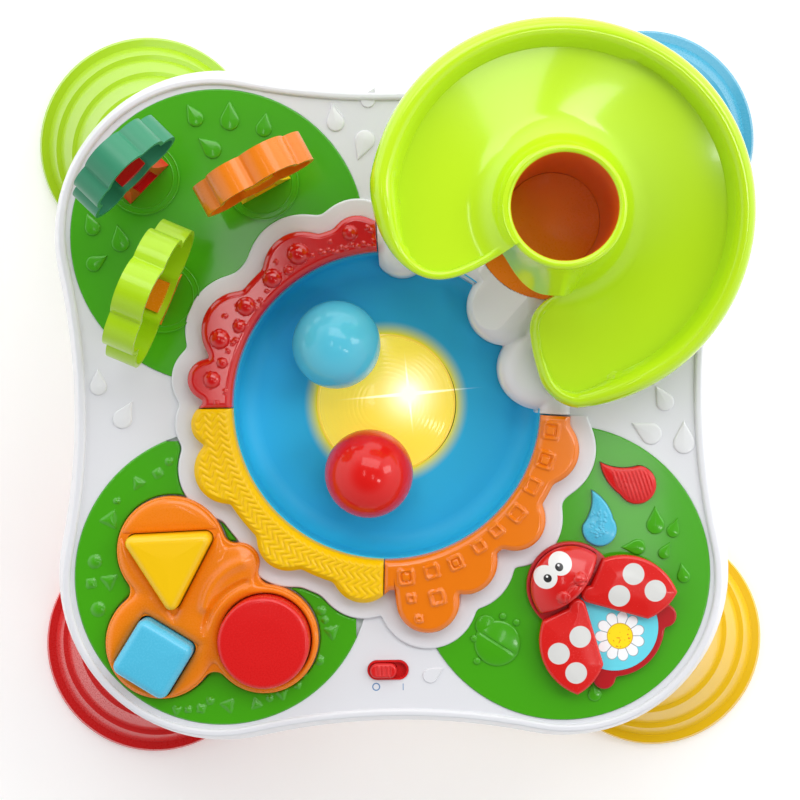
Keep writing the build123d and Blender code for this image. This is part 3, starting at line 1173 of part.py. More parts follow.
# Legs: stepped, leaning outwards, open below, with a round spigot on top
for name, (side_x, side_y) in zip(("leg_green", "leg_blue", "leg_red", "leg_yellow"), LEG_CORNERS):
    top_x = side_x * LEG_TOP_REACH
    top_y = side_y * LEG_TOP_REACH
    with BuildPart() as leg:
        loft(sections=[leg_disc(z, radius, side_x, side_y) for z, radius in LEG_BANDS], ruled=True)
        with BuildSketch(Plane.XY.offset(BASE_Z)):
            with Locations((top_x, top_y)):
                Circle(SPIGOT_R)
        extrude(amount=SPIGOT_H)
        loft(
            sections=[leg_disc(z, radius, side_x, side_y) for z, radius in LEG_HOLLOW],
            ruled=True,
            mode=Mode.SUBTRACT,
        )
        with BuildSketch(Plane.XY.offset(LEG_HOLLOW[-1][0])):
            with Locations((top_x, top_y)):
                Circle(SPIGOT_R - SPIGOT_WALL)
        extrude(amount=SPIGOT_H, mode=Mode.SUBTRACT)
        with BuildSketch(Plane.XY.offset(LEG_BANDS[0][0])):
            for place in pad_places(side_x, side_y):
                with Locations(place):
                    Circle(PAD_R + SEAT_GAP)
        extrude(amount=PAD_T - LEG_BANDS[0][0], mode=Mode.SUBTRACT)
    save(leg, name)

# Rubber pads let into the rims of the feet
with BuildPart() as foot_pads:
    with BuildSketch(Plane.XY):
        for side_x, side_y in LEG_CORNERS:
            for place in pad_places(side_x, side_y):
                with Locations(place):
                    Circle(PAD_R)
    extrude(amount=PAD_T)
save(foot_pads, "foot_pads")

# Circuit board under the buttons, its screws and its rubber dome switches
with BuildPart() as circuit_board:
    with BuildSketch(Plane.XY.offset(BOARD_Z)):
        with Locations((BOARD_X, BOARD_Y)):
            Rectangle(BOARD_W, BOARD_L)
        for x, y in BOARD_POSTS:
            with Locations((x, y)):
                Circle(SCREW_R + SEAT_GAP, mode=Mode.SUBTRACT)
    extrude(amount=BOARD_T)
save(circuit_board, "circuit_board")

for name, place in STEMS.items():
    with BuildPart() as dome:
        with Locations((*place, BOARD_Z + BOARD_T)):
            Cone(DOME_BASE_R, DOME_TOP_R, DOME_H, align=(Align.CENTER, Align.CENTER, Align.MIN))
            Cone(
                DOME_BASE_R - DOME_WALL,
                DOME_TOP_R - DOME_WALL,
                DOME_H - DOME_WALL,
                align=(Align.CENTER, Align.CENTER, Align.MIN),
                mode=Mode.SUBTRACT,
            )
    save(dome, f"dome_{name}")

# Lamp board under the bowl, with its lamps
with BuildPart() as light_board:
    with BuildSketch(Plane.XY.offset(LENS_BOARD_Z)):
        with Locations(BOWL_CENTRE):
            Circle(LENS_BOARD_R)
            with PolarLocations(LENS_POST_REACH, POST_COUNT):
                Circle(SCREW_R + SEAT_GAP, mode=Mode.SUBTRACT)
    extrude(amount=BOARD_T)
save(light_board, "light_board")

with BuildPart() as lamps:
    with BuildSketch(Plane.XY.offset(LENS_BOARD_Z + BOARD_T)):
        with Locations(BOWL_CENTRE):
            with PolarLocations(LED_REACH, LED_COUNT):
                Circle(LED_R)
    extrude(amount=LED_H)
    fillet(lamps.faces().filter_by(Axis.Z).sort_by(Axis.Z)[-LED_COUNT:].edges(), radius=LED_R / 2)
save(lamps, "lamps")

# Batteries in their box, the contact plates and the door
with BuildPart() as battery_cells:
    with Locations((BATTERY_X, BATTERY_Y, BASE_Z + DOOR_T + GAP + CELL_R)):
        with GridLocations(0, CELL_PITCH, 1, CELL_COUNT):
            Cylinder(CELL_R, CELL_L - NUB_L, rotation=(0, 90, 0))
            with Locations((CELL_L / 2, 0, 0)):
                Cylinder(NUB_R, 2 * NUB_L, rotation=(0, 90, 0))
save(battery_cells, "battery_cells")

with BuildPart() as battery_contacts:
    with Locations((BATTERY_X, BATTERY_Y, BASE_Z + BOX_H / 2 + DOOR_T / 2)):
        with GridLocations(BOX_L - CONTACT_T, CELL_PITCH, 2, CELL_COUNT):
            Box(CONTACT_T, CONTACT_W, BOX_H - DOOR_T - 2 * GAP)
save(battery_contacts, "battery_contacts")

with BuildPart() as battery_door:
    with BuildSketch(Plane.XY.offset(BASE_Z)):
        with Locations(DOOR_CENTRE):
            RectangleRounded(DOOR_L, DOOR_W, DOOR_CORNER)
        with Locations(DOOR_SCREW):
            Circle(SCREW_R + SEAT_GAP, mode=Mode.SUBTRACT)
    extrude(amount=DOOR_T)
save(battery_door, "battery_door")

# Loudspeaker standing on the grille
with BuildPart() as speaker:
    with BuildSketch(Plane.XY.offset(BASE_Z + SKIN)):
        with Locations((SPEAKER_X, SPEAKER_Y)):
            Circle(SPEAKER_R)
    extrude(amount=SPEAKER_H / 2)
    with BuildSketch(Plane.XY.offset(BASE_Z + SKIN)):
        with Locations((SPEAKER_X, SPEAKER_Y)):
            Circle(SPEAKER_R / 2)
    extrude(amount=SPEAKER_H)
save(speaker, "speaker")

# Screws: through the bottom shell, the boards and the battery door
SCREWS = {
    "shell_screws": [(*place, BASE_Z + SCREW_SINK) for place in SHELL_SCREWS] + [(*DOOR_SCREW, BASE_Z)],
    "board_screws": [(*place, BOARD_Z) for place in BOARD_POSTS]
    + [(*place, LENS_BOARD_Z) for place in LENS_POSTS],
}
for name, places in SCREWS.items():
    with BuildPart() as screws:
        for place in places:
            with Locations(place):
                Cylinder(SCREW_R, SCREW_LEN, align=(Align.CENTER, Align.CENTER, Align.MIN))
                Cylinder(SCREW_HEAD_R, SCREW_HEAD_T, align=(Align.CENTER, Align.CENTER, Align.MAX))
    save(screws, name)
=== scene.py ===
"""Looks of the activity table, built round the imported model.

Shapes are numpy surfaces in millimetres, put into meshes in metres.
Finishes are procedural and read Object coordinates, so they keep their place on the model.
"""

import json
from math import atan2, cos, degrees, hypot, pi, radians, sin, sqrt

import bmesh
import bpy
import numpy as np
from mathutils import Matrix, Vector


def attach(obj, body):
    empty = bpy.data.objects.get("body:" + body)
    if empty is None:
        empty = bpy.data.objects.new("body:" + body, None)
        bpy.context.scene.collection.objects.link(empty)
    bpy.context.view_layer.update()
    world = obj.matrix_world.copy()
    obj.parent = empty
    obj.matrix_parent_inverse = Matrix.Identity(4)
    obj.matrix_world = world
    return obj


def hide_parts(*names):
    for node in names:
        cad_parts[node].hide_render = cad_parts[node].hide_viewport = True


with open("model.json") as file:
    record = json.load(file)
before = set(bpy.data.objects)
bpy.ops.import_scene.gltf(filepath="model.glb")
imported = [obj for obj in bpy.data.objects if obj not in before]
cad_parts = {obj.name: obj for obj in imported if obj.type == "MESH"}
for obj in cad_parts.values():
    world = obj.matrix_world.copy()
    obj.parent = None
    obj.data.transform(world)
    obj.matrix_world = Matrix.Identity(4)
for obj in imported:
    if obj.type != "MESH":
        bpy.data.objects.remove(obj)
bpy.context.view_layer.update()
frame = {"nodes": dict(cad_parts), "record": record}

MM = 0.001
DECK = 300.0
BOWL = (-1.8, -0.4)
LENS = (-2.9, -0.1)
LENS_R = 39.3
TUBE = (89.0, 98.5)
HEAD = (98.0, -100.9)
DAISY = (124.4, -128.6)
scene = bpy.context.scene


# ---------------------------------------------------------------- finishes


class Signal:
    """A socket's number. Each sum or comparison of signals adds its Math node."""

    def __init__(self, finish, socket):
        self.finish = finish
        self.socket = socket

    def math(self, operation, *values, clamp=False):
        settings = {"operation": operation, "use_clamp": clamp}
        return self.finish.add("ShaderNodeMath", settings, dict(enumerate(values)))

    def __add__(self, other):
        return self.math("ADD", self, other)

    def __radd__(self, other):
        return self.math("ADD", other, self)

    def __sub__(self, other):
        return self.math("SUBTRACT", self, other)

    def __rsub__(self, other):
        return self.math("SUBTRACT", other, self)

    def __mul__(self, other):
        return self.math("MULTIPLY", self, other)

    def __rmul__(self, other):
        return self.math("MULTIPLY", other, self)

    def __truediv__(self, other):
        return self.math("DIVIDE", self, other)

    def __pow__(self, other):
        return self.math("POWER", self, other)

    def __gt__(self, other):
        return self.math("GREATER_THAN", self, other)

    def __abs__(self):
        return self.math("ABSOLUTE", self)

    def clamped(self):
        return self.math("ADD", self, 0.0, clamp=True)

    def smaller(self, other):
        return self.math("MINIMUM", self, other)


def paint(red, green, blue):
    """A screen colour of 0 to 255 as the shader's linear colour."""
    share = np.array((red, green, blue)) / 255
    linear = np.where(share < 0.04045, share / 12.92, ((share + 0.055) / 1.055) ** 2.4)
    return (*(float(part) for part in linear), 1.0)


CLOUDING = 14.0  # scale of the wide, faint changes of shade
SPECKLE = 900.0  # scale of the mould's fine grain
SPECKLE_HIGH = 0.12
SHADED = 0.86  # share of the colour that is left where the clouding is darkest


class Finish:
    """One moulded finish: a Principled shader with clouding and grain, and further nodes made by add()."""

    def __init__(self, name, colour, roughness=0.3, coat=0.0, grain=0.06, drift=0.05, **constants):
        self.material = bpy.data.materials.new(name)
        self.material.use_nodes = True
        self.tree = self.material.node_tree
        self.shader = next(n for n in self.tree.nodes if n.type == "BSDF_PRINCIPLED")
        self.place = self.add("ShaderNodeTexCoord", {}, {}, "Object")
        axes = (self.add("ShaderNodeSeparateXYZ", {}, {0: self.place}, axis) for axis in "XYZ")
        self.x, self.y, self.z = (axis / MM for axis in axes)
        clouding = self.noise(CLOUDING, 2.0)
        darker = tuple(part * SHADED for part in colour[:3]) + (1.0,)
        self.colour = self.blend(clouding * drift * 2, colour, darker)
        speckle = self.noise(SPECKLE, 3.0)
        self.roughness = roughness + (speckle - 0.5) * 0.08 + (clouding - 0.5) * 0.06
        self.bump(speckle, grain, SPECKLE_HIGH * MM)
        settings = {"Coat_Weight": coat, "Coat_Roughness": 0.08, "Specular_IOR_Level": 0.36, **constants}
        for key, value in settings.items():
            self.shader.inputs[key.replace("_", " ")].default_value = value
        self.finish()

    def add(self, kind, settings, values, output=0):
        node = self.tree.nodes.new(kind)
        for key, value in settings.items():
            setattr(node, key, value)
        for key, value in values.items():
            self.feed(node.inputs[key], value)
        return Signal(self, node.outputs[output])

    def feed(self, socket, value):
        if isinstance(value, Signal):
            self.tree.links.new(value.socket, socket)
        else:
            socket.default_value = value

    def noise(self, scale, detail):
        return self.add("ShaderNodeTexNoise", {}, {"Vector": self.place, "Scale": scale, "Detail": detail})

    def blend(self, mask, low, high):
        return self.add("ShaderNodeMix", {"data_type": "RGBA"}, {0: mask, 6: low, 7: high}, 2)

    def bump(self, height, strength, distance):
        values = {"Strength": strength, "Distance": distance, "Height": height}
        self.feed(self.shader.inputs["Normal"], self.add("ShaderNodeBump", {}, values))

    def finish(self):
        """Feed the colour and the roughness as they now are."""
        self.feed(self.shader.inputs["Base Color"], self.colour)
        self.feed(self.shader.inputs["Roughness"], self.roughness)

    def reach(self, x, y):
        """Distance in the plan from a point, in millimetres."""
        return ((self.x - x) ** 2 + (self.y - y) ** 2) ** 0.5

    def disc(self, x, y, radius, soft=0.25):
        """1 inside a circle of the plan and 0 outside it, over a soft edge."""
        return ((radius - self.reach(x, y)) / soft + 0.5).clamped()

    def print_on(self, mask, colour, roughness=None):
        """Lay a printed colour over the finish where the mask is 1."""
        self.colour = self.blend(mask, self.colour, colour)
        if roughness is not None:
            self.roughness = self.roughness * (1 - mask) + mask * roughness
        self.finish()


white = Finish("white_plastic", paint(226, 227, 230), 0.3, coat=0.2)
bowl_blue = Finish("bowl_blue", paint(44, 190, 240), 0.5)
lens_yellow = Finish("lens_yellow", paint(236, 208, 30), 0.2, coat=0.4)
red = Finish("red_plastic", paint(214, 24, 24), 0.28, coat=0.3)
yellow = Finish("yellow_plastic", paint(242, 194, 4), 0.3, coat=0.3)
orange = Finish("orange_plastic", paint(238, 128, 12), 0.28, coat=0.4)
lime = Finish("lime_plastic", paint(168, 210, 18), 0.3, coat=0.3)
green = Finish("green_plastic", paint(68, 164, 16), 0.22, coat=0.35)
teal = Finish("teal_plastic", paint(58, 140, 106), 0.35)
sky = Finish("sky_plastic", paint(80, 186, 220), 0.28, coat=0.4)
nylon = Finish("clip_nylon", paint(236, 234, 226), 0.5)
board = Finish("board_green", paint(30, 110, 60), 0.5)
clear = Finish("lamp_clear", paint(240, 240, 230), 0.15)
black = Finish("black_plastic", paint(40, 40, 42), 0.5)
rubber = Finish("pad_rubber", paint(58, 58, 60), 0.8)
silicone = Finish("dome_silicone", paint(225, 225, 220), 0.7)
steel = Finish("screw_steel", paint(190, 190, 192), 0.3, Metallic=1.0)
wrap = Finish("cell_wrap", paint(60, 62, 70), 0.4)


# ---------------------------------------------------------------- printed finishes, the lamp's glow and painted light

WING_DOTS = ((131.6, -93.9), (123.7, -105.7), (143.4, -103.2),
             (102.1, -127.7), (90.3, -136.7), (99.6, -147.4))
WING_DOT_R = 5.9
EYES = ((91.5, -87.3), (83.5, -94.6))
PUPILS = ((90.9, -89.1), (84.6, -95.2))
EYE_R, PUPIL_R, EYE_GLINT_R = 6.3, 2.2, 0.6
# Painted shade: the blue leg gets a darker copy of the sky-blue finish, to offset the floor light it catches
shaded_leg_sky = Finish("shaded_leg_sky", paint(62, 164, 196), 0.28, coat=0.4)
ball_sky = Finish("ball_sky", paint(92, 200, 230), 0.24, coat=0.5, Specular_IOR_Level=0.15)
ball_red = Finish("ball_red", paint(218, 26, 22), 0.24, coat=0.5, Specular_IOR_Level=0.15)
ring_red = Finish("ring_red", paint(204, 14, 12), 0.16, coat=0.8)
ring_yellow = Finish("ring_yellow", paint(238, 190, 0), 0.3, coat=0.15, Specular_IOR_Level=0.2)
ring_orange = Finish("ring_orange", paint(232, 120, 8), 0.16, coat=0.7)
wing_red = Finish("wing_red", paint(214, 28, 24), 0.26, coat=0.4)
for dot in WING_DOTS:
    wing_red.print_on(wing_red.disc(*dot, WING_DOT_R), paint(214, 214, 212), 0.35)
head_red = Finish("head_red", paint(208, 24, 22), 0.22, coat=0.5)
for eye in EYES:
    head_red.print_on(head_red.disc(*eye, EYE_R), paint(226, 227, 226), 0.35)
for x, y in PUPILS:
    head_red.print_on(head_red.disc(x, y, PUPIL_R), paint(22, 22, 24), 0.3)
    head_red.print_on(head_red.disc(x - 0.3, y + 0.9, EYE_GLINT_R), paint(235, 235, 235), 0.3)
body_red = Finish("body_red", paint(180, 12, 22), 0.3, coat=0.4)
slide_lime = Finish("slide_lime", paint(190, 230, 28), 0.2, coat=0.5)
# Painted glint: a bright spot with two thin streaks, painted as emission on the lens, and the long streak
# also on the bowl
STAR_GLINT = (10.1, 5.2)
STAR_GLINT_R = 30.0
LONG_GLINT_STREAK = (4.2, 43.0, 1.1)  # turn, length and width
SHORT_GLINT_STREAK = (-84.7, 25.0, 0.8)
# Painted light: the lamp's yellow pool of light on the bowl round the lens, out to HALO_R and fading over
# HALO_WIDE
HALO_R = 47.0
HALO_WIDE = 7.6
LENS_RIM = 38.0
# Painted shade: a dark line round the top of the bowl's edge, for the shadow in the gap to the ring
BOWL_SHADE_START = 83.0
BOWL_SHADE_LOW = 303.0
RIM_SOFT = 0.5


def glint_streak(finish, turn, length, width):
    """A thin painted streak of the glint, given as emission: a strip that narrows evenly to nothing at both
    ends.
    """
    x, y = finish.x - STAR_GLINT[0], finish.y - STAR_GLINT[1]
    along = abs(x * cos(radians(turn)) + y * sin(radians(turn)))
    across = abs(y * cos(radians(turn)) - x * sin(radians(turn)))
    fade = (1 - along / length).clamped()
    return ((fade * width - across) / 0.5 + 0.4).clamped() * fade


for finish, on_lens in ((bowl_blue, 0), (lens_yellow, 1)):
    painted_glint = glint_streak(finish, *LONG_GLINT_STREAK)
    if on_lens:
        # the glint's white spot, painted as emission
        glint_core = ((STAR_GLINT_R - finish.reach(*STAR_GLINT)) / STAR_GLINT_R).clamped() ** 3
        painted_glint = glint_core * 1.5 + painted_glint + glint_streak(finish, *SHORT_GLINT_STREAK)
        rim = ((finish.reach(*LENS) - LENS_RIM) / RIM_SOFT).clamped()
        finish.print_on(rim, paint(214, 170, 10))
        lit = paint(176, 158, 72)
    else:
        # Painted light: a yellow pool of the lamp's light, painted into the bowl's colour and its emission
        # near the lens
        painted_spill = ((HALO_R - finish.reach(*LENS)) / HALO_WIDE).clamped() ** 1.4
        finish.print_on(painted_spill, paint(232, 222, 16))
        # Painted shade: the dark line of the gap's shadow round the bowl's top edge
        rim = ((finish.reach(*BOWL) - BOWL_SHADE_START) / RIM_SOFT).clamped() * (finish.z > BOWL_SHADE_LOW)
        finish.print_on(rim, paint(16, 60, 84))
        lit = finish.blend(painted_spill, (0, 0, 0, 1), paint(120, 112, 0))
    # Emission: the lens's lamp glow, or the bowl's painted glow, with the painted glint over it
    finish.feed(finish.shader.inputs["Emission Color"], finish.blend(painted_glint.clamped(), lit, (1, 1, 0.92, 1)))
    finish.shader.inputs["Emission Strength"].default_value = 1.0

deck_white = Finish("deck_white", paint(224, 225, 230), 0.3, coat=0.2)
OFF_MARK, ON_MARK = (-9.9, -155.8), (5.0, -156.0)
MARK_HALF = 1.9
MARK_SOFT = 0.15
mark = ((0.42 - abs(deck_white.reach(*OFF_MARK) - MARK_HALF)) / MARK_SOFT).clamped()
bar = (0.3 - abs(deck_white.x - ON_MARK[0])) / MARK_SOFT
mark = mark + bar.smaller((MARK_HALF - abs(deck_white.y - ON_MARK[1])) / MARK_SOFT).clamped()
deck_white.print_on(mark.clamped() * (deck_white.z > DECK - 1.0), paint(104, 142, 184))

# Petals lie where the reach is less than PETAL_START and a bow of PETAL_BOW that repeats PETALS times round
PETALS = 11
PETAL_START, PETAL_BOW = 9.4, 4.3
DAISY_MIDDLE = 6.8
daisy = Finish("daisy_print", paint(104, 214, 232), 0.3, coat=0.4)
reach = daisy.reach(*DAISY)
turn = daisy.y.math("ARCTAN2", daisy.y - DAISY[1], daisy.x - DAISY[0])
petal = abs(turn.math("SINE", turn * (PETALS / 2)))
edge = PETAL_START + PETAL_BOW * petal ** 0.45
parting = ((petal * reach - 0.9) / 0.7).clamped()
daisy.print_on(((edge + 0.35 - reach) / 0.25).clamped(), paint(150, 158, 164))
daisy.print_on(((edge - 0.1 - reach) / 0.25).clamped() * parting, paint(246, 248, 250))
daisy.print_on(daisy.disc(*DAISY, DAISY_MIDDLE + 0.4), paint(206, 150, 20))
daisy.print_on(daisy.disc(*DAISY, DAISY_MIDDLE), paint(250, 224, 18))
specks = (daisy.noise(560.0, 1.0) - 0.62) / 0.05
daisy.print_on(specks.clamped() * daisy.disc(*DAISY, DAISY_MIDDLE - 0.6), paint(238, 140, 20))

# The tube is orange inside, up to just under its rounded top
BORE_R, BORE_TOP = 26.9, 404.0
bore = ((BORE_R - slide_lime.reach(*TUBE)) / 0.3).clamped() * ((BORE_TOP - slide_lime.z) / 0.4).clamped()
slide_lime.print_on(bore, paint(226, 96, 20), 0.4)

BY_SLOT = {
    "white_shell": white, "blue_bowl": bowl_blue, "yellow_lens": lens_yellow, "red_plastic": red,
    "yellow_plastic": yellow, "orange_plastic": orange, "lime_plastic": lime, "green_panel": green,
    "dark_green": teal, "sky_blue": sky, "nylon_clip": nylon, "circuit_green": board,
    "lamp_clear": clear, "black_plastic": black, "silicone": silicone, "pad_rubber": rubber,
    "steel": steel, "cell_wrap": wrap,
}
BY_NODE = {
    "leg_blue": shaded_leg_sky, "ball_blue": ball_sky, "ball_red": ball_red, "tabletop_shell": deck_white,
    "daisy_disc": daisy, "ladybird_body": body_red,
}
for part in frame["record"]["subparts"]:
    mesh = frame["nodes"][part["node"]].data
    mesh.materials.clear()
    mesh.materials.append(BY_NODE.get(part["node"], BY_SLOT[part["material_slot"]]).material)


# ---------------------------------------------------------------- surfaces


def mould(name, grids, finish, slot, body="table", replaces=(), crease=35.0):
    """One object made of point grids in millimetres.

    The rows and columns of a grid are the two parameters of its surface, and each cell is a face.
    """
    points, quads, start = [], [], 0
    for grid in grids:
        rows, columns = grid.shape[:2]
        number = start + np.arange(rows * columns).reshape(rows, columns)
        corners = (number[:-1, :-1], number[:-1, 1:], number[1:, 1:], number[1:, :-1])
        quads.append(np.stack(corners, -1).reshape(-1, 4))
        points.append(grid.reshape(-1, 3))
        start += rows * columns
    return cast(name, np.vstack(points), np.vstack(quads), finish, slot, body, replaces, crease)


def cast(name, points, quads, finish, slot, body="table", replaces=(), crease=35.0):
    """One object made of points in millimetres and their faces, merged where they meet."""
    mesh = bpy.data.meshes.new(name)
    mesh.from_pydata((points * MM).tolist(), [], quads.tolist())
    work = bmesh.new()
    work.from_mesh(mesh)
    bmesh.ops.remove_doubles(work, verts=work.verts, dist=0.003 * MM)
    bmesh.ops.recalc_face_normals(work, faces=work.faces)
    work.to_mesh(mesh)
    work.free()
    mesh.shade_smooth()
    mesh.set_sharp_from_angle(angle=radians(crease))
    mesh.materials.append(finish.material)
    obj = bpy.data.objects.new(name, mesh)
    scene.collection.objects.link(obj)
    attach(obj, body)
    if replaces:
        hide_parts(*replaces)
    return obj


def highest(values, soft, axis=0):
    """The largest of several numbers, softened where two come close: the log of the sum of their powers."""
    top = values.max(axis, keepdims=True)
    return soft * np.log(np.exp((values - top) / soft).sum(axis)) + top.squeeze(axis)


def polar(centre, reach, turn):
    """Plan places at a reach and a direction, in radians, from a centre."""
    return centre[0] + reach * np.cos(turn), centre[1] + reach * np.sin(turn)


def leaning(x, y, centre, turn):
    """Distances of plan places from a centre, along a direction in radians and across it."""
    x, y = x - centre[0], y - centre[1]
    return x * cos(turn) + y * sin(turn), y * cos(turn) - x * sin(turn)


def arc(centre, radius, start, end, count=24):
    """Points of a circular arc from one polar angle to another, in degrees."""
    return np.stack(polar(centre, radius, np.radians(np.linspace(start, end, count))), -1)


def bow(first, middle, last, count=24):
    """The arc through three points: the centre is where their perpendicular bisectors meet."""
    a, b, c = (np.array(point, float) for point in (first, middle, last))
    centre = np.linalg.solve(2 * np.array((b - a, c - b)), np.array((b @ b - a @ a, c @ c - b @ b)))
    start, through, end = (atan2(*(point - centre)[::-1]) for point in (a, b, c))
    through = start + (through - start) % (2 * pi)
    end = start + (end - start) % (2 * pi)
    if through > end:
        end -= 2 * pi
    return arc(centre, hypot(*(a - centre)), np.degrees(start), np.degrees(end), count)


def rounded(corners, radii, count=10):
    """A closed line of straight sides, with an arc at each corner, all of one radius or each of its own."""
    corners = np.array(corners, float)
    radii = np.broadcast_to(radii, len(corners))
    pieces = []
    for before, corner, after, radius in zip(np.roll(corners, 1, 0), corners, np.roll(corners, -1, 0), radii):
        back = (before - corner) / np.hypot(*(before - corner))
        on = (after - corner) / np.hypot(*(after - corner))
        half = np.arccos(np.clip(back @ on, -1, 1)) / 2
        middle = corner + (back + on) / np.hypot(*(back + on)) * radius / np.sin(half)
        start = corner + back * radius / np.tan(half) - middle
        end = corner + on * radius / np.tan(half) - middle
        share = np.linspace(0, 1, count)[:, None]
        chord = start * (1 - share) + end * share
        pieces.append(middle + chord / np.hypot(*chord.T)[:, None] * radius)
    return np.vstack(pieces)


def divided(line, step):
    """A closed line cut into equal steps of its length."""
    closed = np.vstack((line, line[:1]))
    length = np.concatenate(([0], np.cumsum(np.hypot(*np.diff(closed, axis=0).T))))
    places = np.linspace(0, length[-1], max(24, round(length[-1] / step)), endpoint=False)
    return np.stack([np.interp(places, length, closed[:, axis]) for axis in (0, 1)], -1)


def crossing(circles, centre, turn, side, missed):
    """How far along each direction from a centre a circle is crossed, on its near (-1) or far (1) side."""
    x, y, radius = np.array(circles, float).T
    along = np.outer(np.cos(turn), x - centre[0]) + np.outer(np.sin(turn), y - centre[1])
    across = (x - centre[0]) ** 2 + (y - centre[1]) ** 2 - along**2
    half = np.sqrt(np.maximum(radius**2 - across, 0))
    return np.where(across < radius**2, along + side * half, missed)


def lobe_reach(circles, centre, turn, soft=1.0):
    """How far joined circles reach in each direction: the farthest crossing, softened where two meet."""
    return highest(crossing(circles, centre, turn, 1, -1e3), soft, 1)


def depth_in(plan, line, closed=True):
    """Distance of each point of a plan from the nearest side of a line."""
    flat = plan.reshape(-1, 2)
    sides = np.roll(line, -1, 0) - line
    nearest = np.full(len(flat), 1e9)
    for start, side in zip(line if closed else line[:-1], sides):
        share = np.clip(((flat - start) @ side) / max(side @ side, 1e-9), 0, 1)
        nearest = np.minimum(nearest, np.hypot(*(flat - start - share[:, None] * side).T))
    return nearest.reshape(plan.shape[:-1])


def eased(depth, radius):
    """Height below the top of a rounded edge: a quarter circle that ends one radius inside the outline."""
    inside = np.clip(depth / radius, 0, 1)
    return -radius * (1 - np.sqrt(1 - (1 - inside) ** 2))


def smooth(share):
    """0 below 0, 1 above 1, and a smooth rise between."""
    share = np.clip(share, 0, 1)
    return share * share * (3 - 2 * share)


def lid(outline, centre, foot, top, edge, relief=None, rings=14):
    """A closed body over an outline.

    One parameter goes round the outline. The other goes from the middle of the underside to the outline,
    up the wall, round the edge and in to the middle of the top. The relief adds height from the plan.
    """
    line = np.vstack((outline, outline[:1]))
    centre = np.array(centre, float)
    size = np.hypot(*(outline - centre).T).mean()
    near = edge * (1 - np.cos(np.linspace(0, pi / 2, 8))) / size
    share = np.concatenate((near, np.linspace(near[-1], 1, rings + 1)[1:]))
    plan = centre + (line - centre)[:, None] * (1 - share)[None, :, None]
    depth = depth_in(plan, outline)
    height = top + eased(depth, edge)
    if relief is not None:
        height = height + relief(plan[..., 0], plan[..., 1], depth)
    surface = np.dstack((plan, height))
    under = np.dstack((plan[:, [-1, 0]], np.full((len(line), 2), float(foot))))
    return np.concatenate((under, surface), 1)


def skirted(surface, foot):
    """A height field with its four sides carried straight down to a foot."""
    padded = np.pad(surface, ((1, 1), (1, 1), (0, 0)), mode="edge")
    padded[[0, -1], :, 2] = foot
    padded[:, [0, -1], 2] = foot
    return padded


def depth_in_lobes(x, y, circles, soft=1.2):
    """Depth of plan points inside joined circles.

    It is the largest of radius less distance, softened where two circles meet.
    """
    return highest(np.stack([radius - np.hypot(x - cx, y - cy) for cx, cy, radius in circles]), soft)


def depth_in_sides(x, y, centre, turns, reach, soft=1.0):
    """Depth of plan points inside a polygon with soft corners.

    Each side has its direction, and all have the same reach from the centre.
    """
    turns = np.radians(turns)[:, None, None]
    out = (x - centre[0]) * np.cos(turns) + (y - centre[1]) * np.sin(turns) - reach
    return -highest(out, soft)


def skin(name, low, high, step, depth_of, height_of, foot, finish, slot, replaces=()):
    """A height field on a square lattice inside an outline, with a wall down to a foot.

    Lattice points close to the outline are first drawn onto it along the slope of the depth.
    """
    x, y = np.meshgrid(np.arange(low[0], high[0], step), np.arange(low[1], high[1], step), indexing="ij")
    for _ in range(2):
        depth = depth_of(x, y)
        slope = (np.stack((depth_of(x + 0.01, y), depth_of(x, y + 0.01))) - depth) / 0.01
        pull = np.where(np.abs(depth) < 0.75 * step, depth, 0) / np.maximum((slope**2).sum(0), 0.3)
        x, y = x - pull * slope[0], y - pull * slope[1]
    depth = depth_of(x, y)
    kept = depth > -0.1 * step
    kept = kept[:-1, :-1] & kept[1:, :-1] & kept[1:, 1:] & kept[:-1, 1:]
    points = np.dstack((x, y, height_of(x, y, np.maximum(depth, 0)))).reshape(-1, 3)
    number = np.arange(x.size).reshape(x.shape)
    quads = np.stack((number[:-1, :-1], number[1:, :-1], number[1:, 1:], number[:-1, 1:]), -1)[kept]
    used, quads = np.unique(quads, return_inverse=True)
    points, quads = points[used], quads.reshape(-1, 4)
    sides = np.concatenate([quads[:, (i, (i + 1) % 4)] for i in range(4)])
    _, first, count = np.unique(np.sort(sides, 1), axis=0, return_index=True, return_counts=True)
    rim = sides[first[count == 1]]
    lowered = points[rim.reshape(-1)].copy()
    lowered[:, 2] = foot
    below = len(points) + np.arange(len(lowered)).reshape(-1, 2)
    walls = np.column_stack((rim[:, ::-1], below))
    cast(name, np.vstack((points, lowered)), np.vstack((quads, walls)), finish, slot, replaces=replaces)


def turned(profile, centre, count=180):
    """A profile of radii and heights turned once round an upright axis."""
    profile = np.array(profile, float)
    turn = np.linspace(0, 2 * pi, count + 1)[:, None]
    radius, height = profile[:, 0], profile[:, 1] + 0 * turn
    return np.dstack((*polar(centre, radius, turn), height))


def steps(*runs):
    """Joined runs of even steps, each given by its start, its end and its number of points."""
    return np.concatenate([np.linspace(*run)[min(place, 1):] for place, run in enumerate(runs)])


def ends_between(front, back, axis=0):
    """The strips that close two grids along their first and last rows, or columns."""
    return [np.stack((front.take(place, axis), back.take(place, axis))) for place in (0, -1)]


def dome(x, y, centre, radius, rise):
    """Height of a round boss, a cap of a sphere, over the plan."""
    gap = ((x - centre[0]) ** 2 + (y - centre[1]) ** 2) / radius**2
    return rise * np.sqrt(np.clip(1 - gap, 0, 1))


# ---------------------------------------------------------------- ring round the bowl

